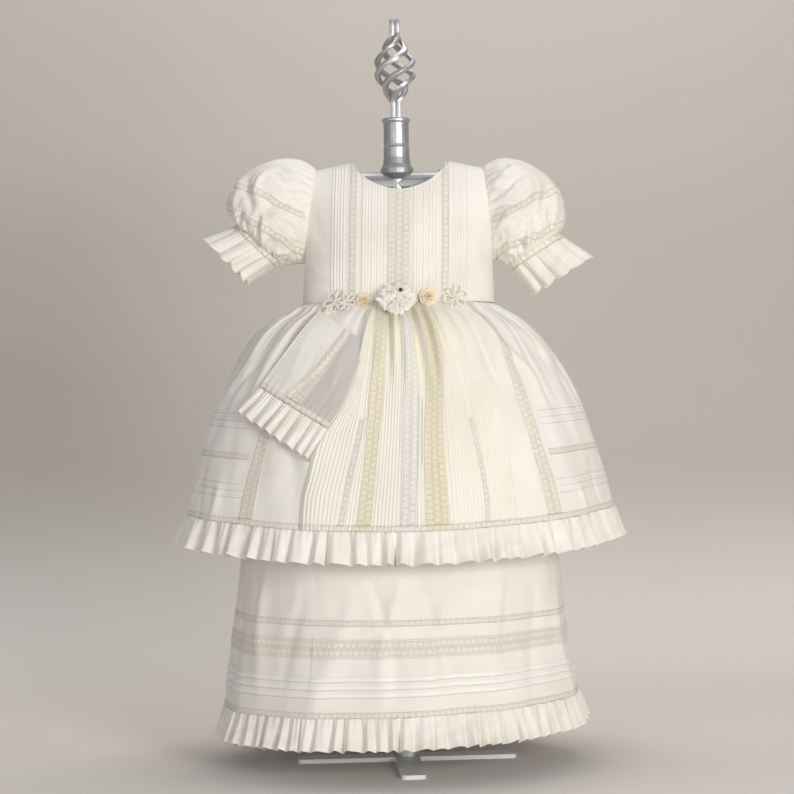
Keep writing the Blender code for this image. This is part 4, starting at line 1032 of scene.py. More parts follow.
# The underskirt: rows of lace, satin tucks and lace above the ruffle. Its creases run down
# from a height of 0.30.
UNDER_SHOWS_TO_Z = 0.2780
UNDER_NARROW_Z = 0.1895
UNDER_NARROW_HALF = 0.0036
UNDER_WIDE_Z = 0.1600
UNDER_WIDE_HALF = 0.0108
SATIN_TUCKS_Z = (0.1250, 0.1160, 0.1070)
UNDERSKIRT_CREASE_SCALE = 1.6
UNDERSKIRT_CREASES = [
    Crease(-0.200, 0.060, -0.215, 0.230, 0.012, 0.0022),
    Crease(-0.150, 0.075, -0.150, 0.200, 0.010, -0.0020),
    Crease(-0.085, 0.070, -0.095, 0.240, 0.013, 0.0024),
    Crease(-0.038, 0.050, -0.030, 0.250, 0.009, -0.0024),
    Crease(-0.006, 0.045, -0.002, 0.230, 0.011, 0.0024),
    Crease(0.028, 0.040, 0.034, 0.210, 0.009, -0.0030),
    Crease(0.060, 0.045, 0.056, 0.215, 0.012, 0.0028),
    Crease(0.075, 0.080, 0.090, 0.250, 0.010, -0.0022),
    Crease(0.125, 0.045, 0.140, 0.210, 0.010, 0.0028),
    Crease(0.195, 0.070, 0.205, 0.230, 0.011, -0.0018),
    Crease(0.280, 0.070, 0.290, 0.230, 0.013, 0.0024),
    Crease(0.350, 0.080, 0.345, 0.240, 0.011, -0.0020),
    Crease(0.430, 0.070, 0.440, 0.220, 0.013, 0.0024),
    Crease(0.520, 0.080, 0.525, 0.240, 0.012, -0.0022),
    Crease(0.620, 0.070, 0.610, 0.230, 0.014, 0.0024),
    Crease(0.720, 0.080, 0.730, 0.240, 0.012, -0.0022),
    Crease(0.820, 0.070, 0.810, 0.220, 0.013, 0.0022),
    Crease(0.920, 0.080, 0.930, 0.240, 0.012, -0.0022),
    Crease(1.010, 0.070, 1.005, 0.230, 0.013, 0.0022),
    Crease(-0.280, 0.070, -0.285, 0.230, 0.012, -0.0020),
    Crease(-0.345, 0.070, -0.340, 0.230, 0.013, 0.0022),
]


def underskirt_heights(seam):
    """Heights of the rows, close together where the skirt shows and closer along its tucks."""
    rows = [z for z in np.arange(UNDER_SHOWS_TO_Z, seam, -0.0022)
            if min(abs(z - tuck) for tuck in SATIN_TUCKS_Z) > 0.0045]
    for tuck in SATIN_TUCKS_Z:
        rows += [tuck + 0.0030, tuck + 0.0022, tuck, tuck - 0.0022, tuck - 0.0033, tuck - 0.0046]
    rows += [UNDERSKIRT[-1].z, 0.54, 0.50, 0.46, 0.42, 0.38, 0.34, 0.31, 0.29]
    return np.array(sorted(rows, reverse=True) + [seam])


def make_underskirt_gore(label, cotton):
    first, last = UNDERSKIRT_EDGES[label]
    count = int((last - first) / 1.15)
    columns = np.linspace(first + SEAM_TURN, last - SEAM_TURN, count)
    seam_mean = UNDERSKIRT_HEM_Z + UNDERSKIRT_RUFFLE_DEPTH
    heights = underskirt_heights(seam_mean)
    angle = np.radians(np.broadcast_to(columns, (len(heights), count)))
    seam = underskirt_hem(angle) + UNDERSKIRT_RUFFLE_DEPTH
    low = 1 - ease(heights[:, None], seam_mean, 0.21)
    z = heights[:, None] + (seam - seam_mean) * low
    level = np.broadcast_to(heights[:, None], z.shape)
    turn = metres_per_turn(UNDERSKIRT, angle, z)
    fields = no_lace(z.shape)
    height = UNDERSKIRT_CREASE_SCALE * creases(crease_place(angle), 0.30 - z, UNDERSKIRT_CREASES)
    height += 0.0009 * ripple(angle * 0.22, z, 2.0)
    fields["satin"] = np.zeros(z.shape)
    # A painted shadow line under each satin tuck, a little see-through
    fields["open"] = ridge(level, [tuck - 0.0033 for tuck in SATIN_TUCKS_Z], 0.0012)
    for tuck in SATIN_TUCKS_Z:
        body = np.clip(1.6 - np.abs(level - tuck) / 0.0021, 0, 1)
        fields["satin"] = np.maximum(fields["satin"], body)
        height += 0.0016 * body * (1 + 0.45 * (tuck - level) / 0.0030)
    for middle, half in ((UNDER_NARROW_Z, UNDER_NARROW_HALF), (UNDER_WIDE_Z, UNDER_WIDE_HALF)):
        lay_lace(fields, level - middle, run_along(angle, turn), half, np.full(z.shape, True))
        height += lace_relief(level - middle, half, 0.0007)
    height += hem_lace(fields, angle, z, seam, turn)
    warm_lace(fields, 0.40)
    points = skirt_points(UNDERSKIRT, angle, z, underskirt_offset(angle, z) + height)
    return make_sheet(f"underskirt_{label}", points, fields, cotton)


# The bodice

def bodice_centre(z):
    return -0.001 + 0.005 * (z - WAIST_Z) / (SHOULDER_NECK_Z - WAIST_Z)


def armhole_x(z):
    share = (z - UNDERARM_Z) / (SHOULDER_TIP_Z - UNDERARM_Z)
    return UNDERARM_X + (SHOULDER_TIP_X - UNDERARM_X) * share


def panel_half_width(z):
    low = np.minimum(lookup(BODICE, "half_width", z), UNDERARM_X + 0.0030)
    return np.where(z > UNDERARM_Z, armhole_x(z), low)


def shoulder_drop(x, level):
    share = np.clip((level - SHOULDER_SLOPE_FROM_Z) / (SHOULDER_NECK_Z - SHOULDER_SLOPE_FROM_Z), 0, 1)
    outward_share = np.clip((np.abs(x) - NECK_HALF_WIDTH) / (SHOULDER_TIP_X - NECK_HALF_WIDTH), 0, 1)
    return (SHOULDER_NECK_Z - SHOULDER_TIP_Z) * outward_share * share


def neckline_z(x, drop):
    share = np.minimum(np.abs(x) / NECK_HALF_WIDTH, 1)
    return SHOULDER_NECK_Z - drop * (1 - share ** NECK_ROUNDNESS) ** (1 / NECK_ROUNDNESS)


STRAIGHT_TO_X = 0.0860


def bodice_x(u, z):
    """Across the bodice: straight up and down in the middle, following the side near it."""
    straight = STRAIGHT_TO_X / SHOULDER_TIP_X
    beyond = np.clip((np.abs(u) - straight) / (1 - straight), 0, 1)
    inner = np.minimum(np.abs(u), straight) * SHOULDER_TIP_X
    return np.sign(u) * (inner + beyond * (panel_half_width(z) - STRAIGHT_TO_X))


def bodice_points(u, level, side):
    """Points of the bodice, side -1 front or 1 back, from u across and the level."""
    z = level
    for _ in range(3):
        x = bodice_x(u, z)
        z = level - shoulder_drop(x, level)
    x = bodice_x(u, z)
    full = lookup(BODICE, "half_width", level)
    share = np.minimum(np.abs(x) / full, 1)
    bulge = np.maximum(lookup(BODICE, "half_depth", level), 0)
    y = bulge * (1 - share ** BODY_SQUARENESS) ** (1 / BODY_SQUARENESS)
    return np.stack([bodice_centre(z) + x, side * np.maximum(y, GAP / 2), z], axis=-1)


def bodice_levels(u, share, drop):
    x = bodice_x(u, np.full_like(u, SHOULDER_NECK_Z))
    top = np.where(np.abs(x) < NECK_HALF_WIDTH, neckline_z(x, drop), SHOULDER_NECK_Z)
    top = top - 0.0030 * np.exp(-((np.abs(x) - NECK_HALF_WIDTH) / 0.0035) ** 2)
    return BODICE[0].z + (top - BODICE[0].z) * share


# The back's cloth lies flat up to here, under the placket
FLAT_TO_X = 0.0095
NECK_BINDING = 0.0010
CENTRE_LACE_HALF = 0.0140
NARROW_LACE_X = 0.0568
NARROW_LACE_HALF = 0.0042
PINTUCK_HALF = 0.0008
OUTER_TUCKS_X = [0.0680, 0.0716, 0.0752, 0.0788, 0.0824]
INNER_TUCKS_LEFT_X = [0.0185, 0.0222, 0.0259, 0.0296, 0.0333, 0.0370, 0.0407, 0.0444]
INNER_TUCKS_RIGHT_X = [0.0185, 0.0222, 0.0259, 0.0296, 0.0333, 0.0370, 0.0420, 0.0450]
BODICE_CREASES = [
    Crease(-0.095, 0.600, -0.050, 0.585, 0.006, -0.0010),
    Crease(-0.110, 0.618, -0.070, 0.604, 0.006, 0.0012),
    Crease(0.095, 0.603, 0.055, 0.588, 0.006, -0.0010),
    Crease(0.108, 0.622, 0.070, 0.606, 0.006, 0.0012),
    Crease(-0.100, 0.690, -0.092, 0.640, 0.005, -0.0012),
    Crease(0.100, 0.690, 0.094, 0.640, 0.005, -0.0012),
    Crease(-0.030, 0.584, 0.010, 0.581, 0.004, 0.0008),
    Crease(-0.108, 0.660, -0.100, 0.610, 0.006, 0.0010),
    Crease(0.107, 0.664, 0.101, 0.612, 0.006, 0.0010),
]


def bodice_columns(tucks):
    """Columns of the bodice's front, closer together along its tucks and narrow lace."""
    places = list(np.arange(-0.0140, 0.0141, 0.00140)) + [-NECK_HALF_WIDTH, NECK_HALF_WIDTH]
    for tuck in tucks:
        places += [tuck - PINTUCK_HALF, tuck, tuck + 0.0006, tuck + 0.0018]
    for side in (-1, 1):
        places += list(side * np.arange(0.0480, 0.0530, 0.0016))
        places += list(side * NARROW_LACE_X + np.arange(-0.0036, 0.0037, 0.0012))
        places += list(side * np.arange(0.0625, 0.0665, 0.0016))
    outer = list(np.linspace(STRAIGHT_TO_X / SHOULDER_TIP_X, 1.0, 15))
    inner = [x / SHOULDER_TIP_X for x in sorted(places)]
    return np.array([-u for u in reversed(outer)] + inner + outer)


def bodice_panel(columns, shares, neck_drop, side):
    """A grid on the bodice, side -1 front or 1 back, with its places across and up."""
    u = np.broadcast_to(columns, (len(shares), len(columns)))
    base = bodice_points(u, bodice_levels(u, shares[:, None], neck_drop), side)
    z = base[..., 2]
    return base, base[..., 0] - bodice_centre(z), z


def neck_binding(shares, x):
    return NECK_BINDING * ease(shares[:, None], 0.975, 0.99) * (1 - ease(np.abs(x), 0.050, NECK_HALF_WIDTH))


def make_bodice_front(cotton):
    tucks = [-x for x in OUTER_TUCKS_X + INNER_TUCKS_LEFT_X] + OUTER_TUCKS_X + INNER_TUCKS_RIGHT_X
    shares = np.concatenate([np.linspace(1.0, 0.80, 26, endpoint=False), np.linspace(0.80, 0.0, 62)])
    base, x, z = bodice_panel(bodice_columns(tucks), shares, NECK_DROP_FRONT, -1)
    fields = no_lace(x.shape)
    fade = ease(shares[:, None], 0.0, 0.03) * (1 - ease(shares[:, None], 0.985, 1.0))
    height = (0.0010 + 0.0003 * np.sin(700 * x)) * ridge(x, tucks, PINTUCK_HALF) * fade
    height += creases(x, z, BODICE_CREASES) + 0.0003 * ripple(x, z, 0.5)
    for middle, half in ((0.0, CENTRE_LACE_HALF), (-NARROW_LACE_X, NARROW_LACE_HALF),
                         (NARROW_LACE_X, NARROW_LACE_HALF)):
        lay_lace(fields, x - middle, SHOULDER_NECK_Z - z, half, np.full(x.shape, True))
        height += lace_relief(x - middle, half) * fade
    height += neck_binding(shares, x)
    warm_lace(fields, 0.45)
    return make_sheet("bodice_front", raised(base, height), fields, cotton)


def make_bodice_back(label, cotton):
    first, last = (-1.0, -0.0014) if label == "left" else (0.0014, 1.0)
    columns = np.linspace(first, last, 52)
    corner = NECK_HALF_WIDTH / SHOULDER_TIP_X * (-1 if label == "left" else 1)
    columns = np.sort(np.append(columns[np.abs(columns - corner) > 0.008], corner))
    shares = np.concatenate([np.linspace(1.0, 0.80, 18, endpoint=False), np.linspace(0.80, 0.0, 46)])
    base, x, z = bodice_panel(columns[::-1], shares, NECK_DROP_BACK, 1)
    mirrored = [line._replace(u0=-line.u0, u1=-line.u1) for line in BODICE_CREASES]
    height = creases(x, z, mirrored) + 0.0004 * ripple(x, z, 1.7)
    height += neck_binding(shares, x)
    height = np.where(np.abs(x) < FLAT_TO_X, np.minimum(height, 0), height)
    return make_sheet(f"bodice_back_{label}", raised(base, height), no_lace(x.shape), cotton)


def make_placket(cotton):
    """The strip over the back's opening, stitched along its edges and dented round each button."""
    across = np.linspace(-PLACKET_HALF_WIDTH, PLACKET_HALF_WIDTH, 15)
    shares = np.linspace(0.985, 0.02, 90)
    u = np.broadcast_to(across[::-1] / SHOULDER_TIP_X, (len(shares), len(across)))
    top = neckline_z(0.0, NECK_DROP_BACK)
    level = np.broadcast_to((BODICE[0].z + (top - BODICE[0].z) * shares)[:, None], u.shape)
    base = bodice_points(u, level, 1)
    z = base[..., 2]
    x = base[..., 0] - bodice_centre(z)
    stitch = ridge(np.abs(x), [PLACKET_HALF_WIDTH - 0.0016], 0.0008)
    dents = np.zeros_like(x)
    for share in BUTTON_SHARES:
        here = BODICE[0].z + (top - BODICE[0].z) * share
        dents = np.maximum(dents, np.exp(-((z - here) / 0.004) ** 2))
    height = 0.0014 + 0.0002 * np.sin(900 * z) - 0.00035 * stitch - 0.0003 * dents
    return make_sheet("back_placket", raised(base, height), no_lace(x.shape), cotton)


# The sleeves

def sleeve_ring_points(ring, angle):
    top = np.array((ring.top_x, 0, ring.top_z))
    bottom = np.array((ring.bottom_x, 0, ring.bottom_z))
    centre = (top + bottom) / 2
    up = top - centre
    points = centre + up * np.cos(angle)[:, None]
    points[:, 1] += ring.half_depth * np.sin(angle)
    return points


def armhole_points(side, angle):
    middle = (SHOULDER_TIP_Z + UNDERARM_Z) / 2
    half = (SHOULDER_TIP_Z - UNDERARM_Z) / 2
    levels = np.linspace(UNDERARM_Z, SHOULDER_NECK_Z, 240)
    edge = bodice_points(np.ones_like(levels), levels, 1)
    z = middle + half * np.cos(angle)
    y = np.interp(z, edge[:, 2], edge[:, 1]) * np.sign(np.sin(angle) + 1e-12)
    y = np.where(np.abs(np.sin(angle)) < 0.01, 0, y)
    x = bodice_centre(z) + side * (armhole_x(z) + 0.0001)
    return np.stack([x, y, z], axis=-1)


def through(rings, shares):
    """A smooth surface through rings of points, at shares of the way along."""
    rings = np.stack(rings)
    last = len(rings) - 1
    at = shares * last
    i = np.clip(at.astype(int), 0, last - 1)
    t = (at - i)[:, None, None]
    before = rings[np.maximum(i - 1, 0)]
    after = rings[np.minimum(i + 2, last)]
    a, b = rings[i], rings[i + 1]
    return 0.5 * (2 * a + (b - before) * t + (2 * before - 5 * a + 4 * b - after) * t ** 2
                  + (3 * a - before - 3 * b + after) * t ** 3)


# Creases of the sleeve: across is the share of the way round from the top times the girth,
# down is the distance from the armhole
SLEEVE_GIRTH = 0.36
SLEEVE_LENGTH = 0.13
SLEEVE_CREASE_SCALE = 1.6
SLEEVE_CREASES = [
    Crease(0.285, 0.010, 0.315, 0.050, 0.004, -0.0028),
    Crease(0.300, 0.008, 0.330, 0.055, 0.004, 0.0026),
    Crease(0.262, 0.012, 0.285, 0.060, 0.004, -0.0030),
    Crease(0.240, 0.010, 0.262, 0.070, 0.005, 0.0026),
    Crease(0.335, 0.020, 0.345, 0.060, 0.005, -0.0022),
    Crease(0.320, 0.045, 0.282, 0.075, 0.005, 0.0032),
    Crease(0.330, 0.060, 0.290, 0.088, 0.004, -0.0030),
    Crease(0.345, 0.070, 0.310, 0.105, 0.005, 0.0030),
    Crease(0.275, 0.075, 0.262, 0.112, 0.004, -0.0030),
    Crease(0.262, 0.070, 0.245, 0.115, 0.005, 0.0028),
    Crease(0.240, 0.075, 0.230, 0.118, 0.004, -0.0026),
    Crease(0.225, 0.050, 0.215, 0.110, 0.005, 0.0024),
    Crease(0.205, 0.060, 0.200, 0.115, 0.004, -0.0022),
    Crease(0.300, 0.090, 0.298, 0.122, 0.004, -0.0026),
    Crease(0.020, 0.012, 0.030, 0.060, 0.005, 0.0024),
    Crease(0.048, 0.010, 0.060, 0.066, 0.005, -0.0024),
    Crease(0.075, 0.012, 0.085, 0.070, 0.005, 0.0024),
    Crease(0.105, 0.014, 0.098, 0.075, 0.005, -0.0024),
    Crease(0.130, 0.050, 0.122, 0.110, 0.005, 0.0022),
    Crease(0.060, 0.070, 0.066, 0.118, 0.005, 0.0024),
    Crease(0.030, 0.075, 0.036, 0.118, 0.005, -0.0022),
    Crease(0.095, 0.080, 0.092, 0.120, 0.004, -0.0024),
    Crease(0.160, 0.030, 0.158, 0.100, 0.005, 0.0018),
]
# Rows of lace and tucks let into the sleeves, each through two places x, z on the front
SLEEVE_ROWS = {
    "left": [
        ("lace", -0.1904, 0.7198, -0.1145, 0.6814),
        ("tuck", -0.1815, 0.7314, -0.1165, 0.7062),
        ("tuck", -0.1816, 0.7271, -0.1166, 0.7012),
        ("tuck", -0.1817, 0.7228, -0.1167, 0.6963),
        ("tuck", -0.187, 0.7037, -0.1209, 0.6655),
        ("tuck", -0.1883, 0.6988, -0.1223, 0.6594),
        ("tuck", -0.1896, 0.6939, -0.1236, 0.6532),
        ("lace", -0.1947, 0.6853, -0.1263, 0.6421),
    ],
    "right": [
        ("lace", 0.1138, 0.6713, 0.1923, 0.7082),
        ("tuck", 0.1117, 0.6936, 0.1864, 0.7256),
        ("tuck", 0.1116, 0.6886, 0.1888, 0.7206),
        ("tuck", 0.1116, 0.6837, 0.1899, 0.7157),
        ("tuck", 0.1185, 0.6589, 0.1957, 0.6921),
        ("tuck", 0.1221, 0.6526, 0.198, 0.6846),
        ("tuck", 0.1257, 0.6464, 0.2004, 0.6772),
        ("lace", 0.1305, 0.6364, 0.2014, 0.6661),
    ],
}
SLEEVE_LACE_HALF = 0.0042


def add_sleeve_rows(height, label, x, z, inside, fields):
    """Adds the slanting rows of lace and tucks of a sleeve."""
    for kind, x0, z0, x1, z1 in SLEEVE_ROWS[label]:
        length = math.hypot(x1 - x0, z1 - z0)
        across = ((x - x0) * (z1 - z0) - (z - z0) * (x1 - x0)) / length
        run = ((x - x0) * (x1 - x0) + (z - z0) * (z1 - z0)) / length
        across = across + 0.0011 * np.sin(95 * run + 60 * z0) + 0.0007 * np.sin(230 * run)
        if kind == "lace":
            lay_lace(fields, across, run, SLEEVE_LACE_HALF, inside)
            height = height + lace_relief(across, SLEEVE_LACE_HALF) * inside
        else:
            height = height + 0.0011 * np.clip(1 - np.abs(across) / 0.0014, 0, 1) * inside
    return height


def make_sleeve(label, side, rings, cotton):
    """A puff sleeve: gathers at its head and its cuff, creases and slanting rows between them."""
    columns = np.linspace(0, 2 * math.pi, 181)
    shares = np.concatenate([[0, 0.006, 0.018], np.linspace(0.035, 0.985, 76), [0.993, 1.0]])
    surfaces = [armhole_points(side, columns)] + [sleeve_ring_points(ring, columns) for ring in rings]
    base = through(surfaces, shares)
    angle = np.broadcast_to(columns, base.shape[:2])
    share = np.broadcast_to(shares[:, None], base.shape[:2])
    if side < 0:
        base, angle = base[:, ::-1], angle[:, ::-1]
    u = angle / (2 * math.pi) * SLEEVE_GIRTH
    v = share * SLEEVE_LENGTH
    upper = 0.25 + 0.75 * ease(np.cos(angle), -0.7, 0.6)
    head = ease(share, 0.0, 0.03) * (1 - ease(share, 0.08, 0.42)) * upper
    end = ease(share, 0.62, 0.97)
    soft = ease(share, 0.02, 0.10) * (1 - ease(share, 0.95, 1.0))
    sway = 1.3 * np.sin(3 * angle) + 2.2 * share
    height = 0.0011 * wave(angle, 6) * soft
    height += 0.0017 * head * flute(33 * angle + sway, 0.9)
    close = 1 - 0.8 * ease(share, 0.95, 1.0)
    height += 0.0017 * end * close * flute(27 * angle + 1.5 * np.sin(2 * angle + 1) - 1.5 * share, 0.9)
    height += SLEEVE_CREASE_SCALE * creases(u, v, SLEEVE_CREASES) * soft
    height += 0.0013 * ripple(1.7 * u, 1.7 * v, 3.0 + side) * soft
    height += 0.0007 * ripple(4.1 * u, 4.1 * v, 1.0 + side) * soft
    fields = no_lace(share.shape)
    height = add_sleeve_rows(height, label, base[..., 0], base[..., 2], share > 0.05, fields)
    fields["warm"] = 0.20 * np.exp(-((share - 0.5) / 0.2) ** 2)
    warm_lace(fields, 0.45)
    points = raised(base, height)
    points[0] = base[0]
    return make_sheet(f"sleeve_{label}", points, fields, cotton, closed=True)


def shifted(ring, other, share):
    return SleeveRing(*[a + (b - a) * share for a, b in zip(ring, other)])


def ring_middle(ring):
    return ((ring.top_x + ring.bottom_x) / 2, (ring.top_z + ring.bottom_z) / 2)


def cuff_rings(side, end_ring, cuff_end, places):
    """Rings of a cuff at shares of the way from the sleeve's end, and their angles."""
    columns = np.linspace(0, 2 * math.pi, 169)
    if side < 0:
        columns = columns[::-1]
    base = np.stack([sleeve_ring_points(shifted(end_ring, cuff_end, place), columns) for place in places])
    return base, columns


def make_sleeve_band(label, side, end_ring, cuff_end, lace):
    length = math.dist(ring_middle(end_ring), ring_middle(cuff_end))
    places = np.linspace(0.1 * (SEAM_GAP / length), CUFF_BAND_WIDTH / length, 7)
    base, columns = cuff_rings(side, end_ring, cuff_end, places)
    across = np.broadcast_to((places * length - CUFF_BAND_WIDTH / 2)[:, None], base.shape[:2])
    along = np.broadcast_to(columns * 0.030, base.shape[:2])
    puckers = 0.0005 * np.sin(columns * 37) + 0.0004 * np.sin(columns * 23 + 1)
    height = 0.0011 + puckers - 0.0006 * (across / 0.004) ** 2
    fields = {"lace_x": across, "lace_y": along, "lace_half": np.full(across.shape, SLEEVE_LACE_HALF)}
    return make_sheet(f"sleeve_band_{label}", raised(base, height), fields, lace, closed=True)


def make_sleeve_ruffle(label, side, end_ring, cuff_end, finish):
    length = math.dist(ring_middle(end_ring), ring_middle(cuff_end))
    shares = np.concatenate([[0.0, 0.05, 0.12, 0.20], np.linspace(0.30, 0.94, 8), [0.985, 1.0]])
    start = CUFF_BAND_WIDTH / length + SEAM_GAP / length
    base, columns = cuff_rings(side, end_ring, cuff_end, start + (1 - start) * shares)
    share = np.broadcast_to(shares[:, None], base.shape[:2])
    angle = np.broadcast_to(columns, base.shape[:2])
    phase = CUFF_WAVES * angle + math.pi / 4 + 0.5 * np.sin(3 * angle)
    size = 1 + 0.28 * np.sin(3 * angle + 1.1) + 0.17 * np.sin(7 * angle + 0.4)
    swell = 0.0012 + 0.0046 * share ** 0.8
    height = swell * flute(phase) * size + 0.0006 * (1 - share) * np.sin(47 * angle)
    height += 0.0008 * ease(share, 0.9, 1.0)
    way = base[-1].mean(axis=0) - base[0].mean(axis=0)
    sag = (0.0026 * share * flute(phase) * size)[..., None]
    points = raised(base, height) + way / np.linalg.norm(way) * sag
    fields = {"hem": length * (1 - start) * (1 - share)}
    return make_sheet(f"sleeve_ruffle_{label}", points, fields, finish, closed=True)


# The side drape

# The most that a gather of the skirt stands out, over its usual height
GATHER_PEAK = 1.45


def over_skirt(x, z, lift):
    """Points in front of the overskirt, lifted clear of its gathers and folds."""
    fall = np.clip((WAIST_Z - z) / FOLD_REACH, 0, 1)
    clear = lookup(OVERSKIRT, "gather", z) * GATHER_PEAK + FOLD_HEIGHT * fall ** 1.5 + lift
    wide = lookup(OVERSKIRT, "half_width", z) + clear
    deep = lookup(OVERSKIRT, "half_depth", z) + clear
    share = np.minimum(np.abs(x - SKIRT_CENTRE_X) / wide, 0.999)
    return np.stack([x, -deep * np.sqrt(1 - share * share), z], axis=-1)


DRAPE_LACE_HALF = 0.0060
DRAPE_TRIM_HALF = 0.0038
DRAPE_LENGTH = 0.118
# Creases of the side drape, as shares across and down times 100 mm
DRAPE_CREASES = [
    Crease(0.050, 0.000, 0.047, 0.100, 0.004, 0.0030),
    Crease(0.056, 0.000, 0.058, 0.100, 0.004, -0.0028),
    Crease(0.018, 0.010, 0.015, 0.090, 0.007, 0.0012),
    Crease(0.080, 0.010, 0.078, 0.080, 0.009, 0.0014),
    Crease(0.034, 0.030, 0.030, 0.100, 0.006, -0.0010),
    Crease(0.090, 0.040, 0.070, 0.095, 0.006, -0.0012),
]


def make_side_drape(cotton):
    """A folded flap of cloth with painted shade over its far part, with lace down it and along its end."""
    across = np.concatenate([[0.0, 0.006, 0.012, 0.02], np.linspace(0.04, 0.96, 76),
                             [0.98, 0.988, 0.994, 1.0]])
    down = np.linspace(0, 1, 60)
    table = np.array(SIDE_DRAPE)
    rows = np.stack([np.interp(down * (len(table) - 1), range(len(table)), table[:, k]) for k in range(5)])
    left_x, left_z, right_x, right_z, lift = rows[..., None]
    x = left_x + (right_x - left_x) * across
    z = left_z + (right_z - left_z) * across
    share = np.broadcast_to(across, x.shape)
    fallen = np.broadcast_to(down[:, None], x.shape)
    fields = no_lace(x.shape)
    height = creases(share * 0.1, fallen * 0.1, DRAPE_CREASES)
    height += 0.0008 * np.maximum(ridge(share, [0.006], 0.007), ridge(share, [0.994], 0.007))
    height += 0.0005 * ease(fallen, 0.75, 1.0) * np.sin(75 * share + 2 * np.sin(9 * share))
    # Painted shade over the flap's part beyond its band of lace
    fields["reverse"] = ease(share + 0.10 * fallen, 0.60, 0.66) * (1 - ease(share, 0.985, 0.995))
    band = (share - 0.62 + 0.16 * fallen) * 0.085
    lay_lace(fields, band, fallen * 0.12, DRAPE_LACE_HALF, np.full(x.shape, True))
    height += lace_relief(band, DRAPE_LACE_HALF)
    trim = (1 - fallen) * DRAPE_LENGTH - DRAPE_TRIM_HALF
    lay_lace(fields, trim, share * 0.1, DRAPE_TRIM_HALF, np.full(x.shape, True))
    height += lace_relief(trim, DRAPE_TRIM_HALF, 0.0010)
    warm_lace(fields, 0.50)
    return make_sheet("side_drape", over_skirt(x, z, lift + height), fields, cotton)


def make_drape_ruffle(finish):
    end = SIDE_DRAPE[-1]
    length = math.dist((end.left_x, end.left_z), (DRAPE_RUFFLE_END.left_x, DRAPE_RUFFLE_END.left_z))
    start = SEAM_GAP / length
    shares = np.concatenate([[0.0, 0.05, 0.12, 0.20], np.linspace(0.30, 0.94, 9), [0.985, 1.0]])
    across = np.linspace(0, 1, 150)
    left_x, left_z, right_x, right_z, lift = (
        first + (last - first) * (start + (1 - start) * shares[:, None])
        for first, last in zip(end, DRAPE_RUFFLE_END))
    x = left_x + (right_x - left_x) * across
    z = left_z + (right_z - left_z) * across
    share = np.broadcast_to(shares[:, None], x.shape)
    turn = np.broadcast_to(2 * math.pi * across, x.shape)
    phase = DRAPE_WAVES * turn + math.pi / 4 + 1.3 * np.sin(turn) + 0.9 * np.sin(2 * turn + 0.6)
    uneven = 1 + 0.30 * np.sin(3 * turn + 0.8)
    swell = 0.0008 + 0.0050 * uneven * share ** 0.8
    height = swell * flute(phase) + 0.0006 * (1 - share) * np.sin(29 * turn)
    z = z + 0.0024 * share * flute(phase)
    fields = {"hem": 0.045 * (1 - share)}
    return make_sheet("side_drape_ruffle", over_skirt(x, z, lift + height), fields, finish)


# Flowers on the waist

def frame_around(out):
    """Directions across and up a flower that faces out."""
    across = np.cross((0, 0, 1), out)
    across = across / np.linalg.norm(across)
    return across, np.cross(out, across)


def spokes(across, upward, turn):
    """Directions along and beside a petal at an angle round its flower."""
    along = across * math.cos(turn) + upward * math.sin(turn)
    beside = across * -math.sin(turn) + upward * math.cos(turn)
    return along, beside


class Builder:
    """Gathers points and faces of one mesh, with a value for each point."""

    def __init__(self):
        self.points = []
        self.faces = []
        self.values = []

    def strip(self, rows, values=None):
        """A sheet through rows of points."""
        start = len(self.points)
        width = len(rows[0])
        for number, row in enumerate(rows):
            self.points.extend(row)
            self.values.extend([0.0] * width if values is None else list(values[number]))
        for r in range(len(rows) - 1):
            for c in range(width - 1):
                low = start + r * width + c
                self.faces.append((low, low + width, low + width + 1, low + 1))

    def tube(self, path, radius, sides):
        """A round tube with flat ends along a path of points, of one radius or one for each point."""
        path = np.array(path)
        count = len(path)
        ahead = np.roll(path, -1, axis=0) - np.roll(path, 1, axis=0)
        ahead[0] = path[1] - path[0]
        ahead[-1] = path[-1] - path[-2]
        ahead /= np.linalg.norm(ahead, axis=1, keepdims=True)
        side = np.cross(ahead, (0.31, 0.17, 0.93))
        side /= np.linalg.norm(side, axis=1, keepdims=True)
        other = np.cross(ahead, side)
        radii = np.broadcast_to(radius, count)
        start = len(self.points)
        for k in range(count):
            for s in range(sides):
                turn = 2 * math.pi * s / sides
                away = side[k] * math.cos(turn) + other[k] * math.sin(turn)
                self.points.append(path[k] + radii[k] * away)
                self.values.append(0.0)
        for k in range(count - 1):
            low = start + k * sides
            high = low + sides
            for s in range(sides):
                t = (s + 1) % sides
                self.faces.append((low + s, low + t, high + t, high + s))
        self.faces.append(tuple(start + s for s in reversed(range(sides))))
        self.faces.append(tuple(start + (count - 1) * sides + s for s in range(sides)))

    def build(self, name, material, field=None):
        mesh = bpy.data.meshes.new(name)
        mesh.from_pydata([tuple(map(float, p)) for p in self.points], [], self.faces)
        if field:
            held = mesh.attributes.new(field, "FLOAT", "POINT")
            held.data.foreach_set("value", np.array(self.values, np.float32))
        mesh.shade_smooth()
        return link(bpy.data.objects.new(f"{name}_made", mesh), material)


def seat_of(node):
    """Middle of the back of a flower's solid, the way that it faces, and its height.

    The solid is flat, so it faces along the axis in which its points spread least."""
    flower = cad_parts[node]
    points = np.array([tuple(vertex.co) for vertex in flower.data.vertices])
    low, high = points.min(axis=0), points.max(axis=0)
    centre = (low + high) / 2
    out = np.linalg.svd(points - points.mean(axis=0), full_matrices=False)[2][2]
    out = -out if out[1] > 0 else out
    reach = (points - centre) @ out
    return centre + out * reach.min(), out, float(reach.max() - reach.min())


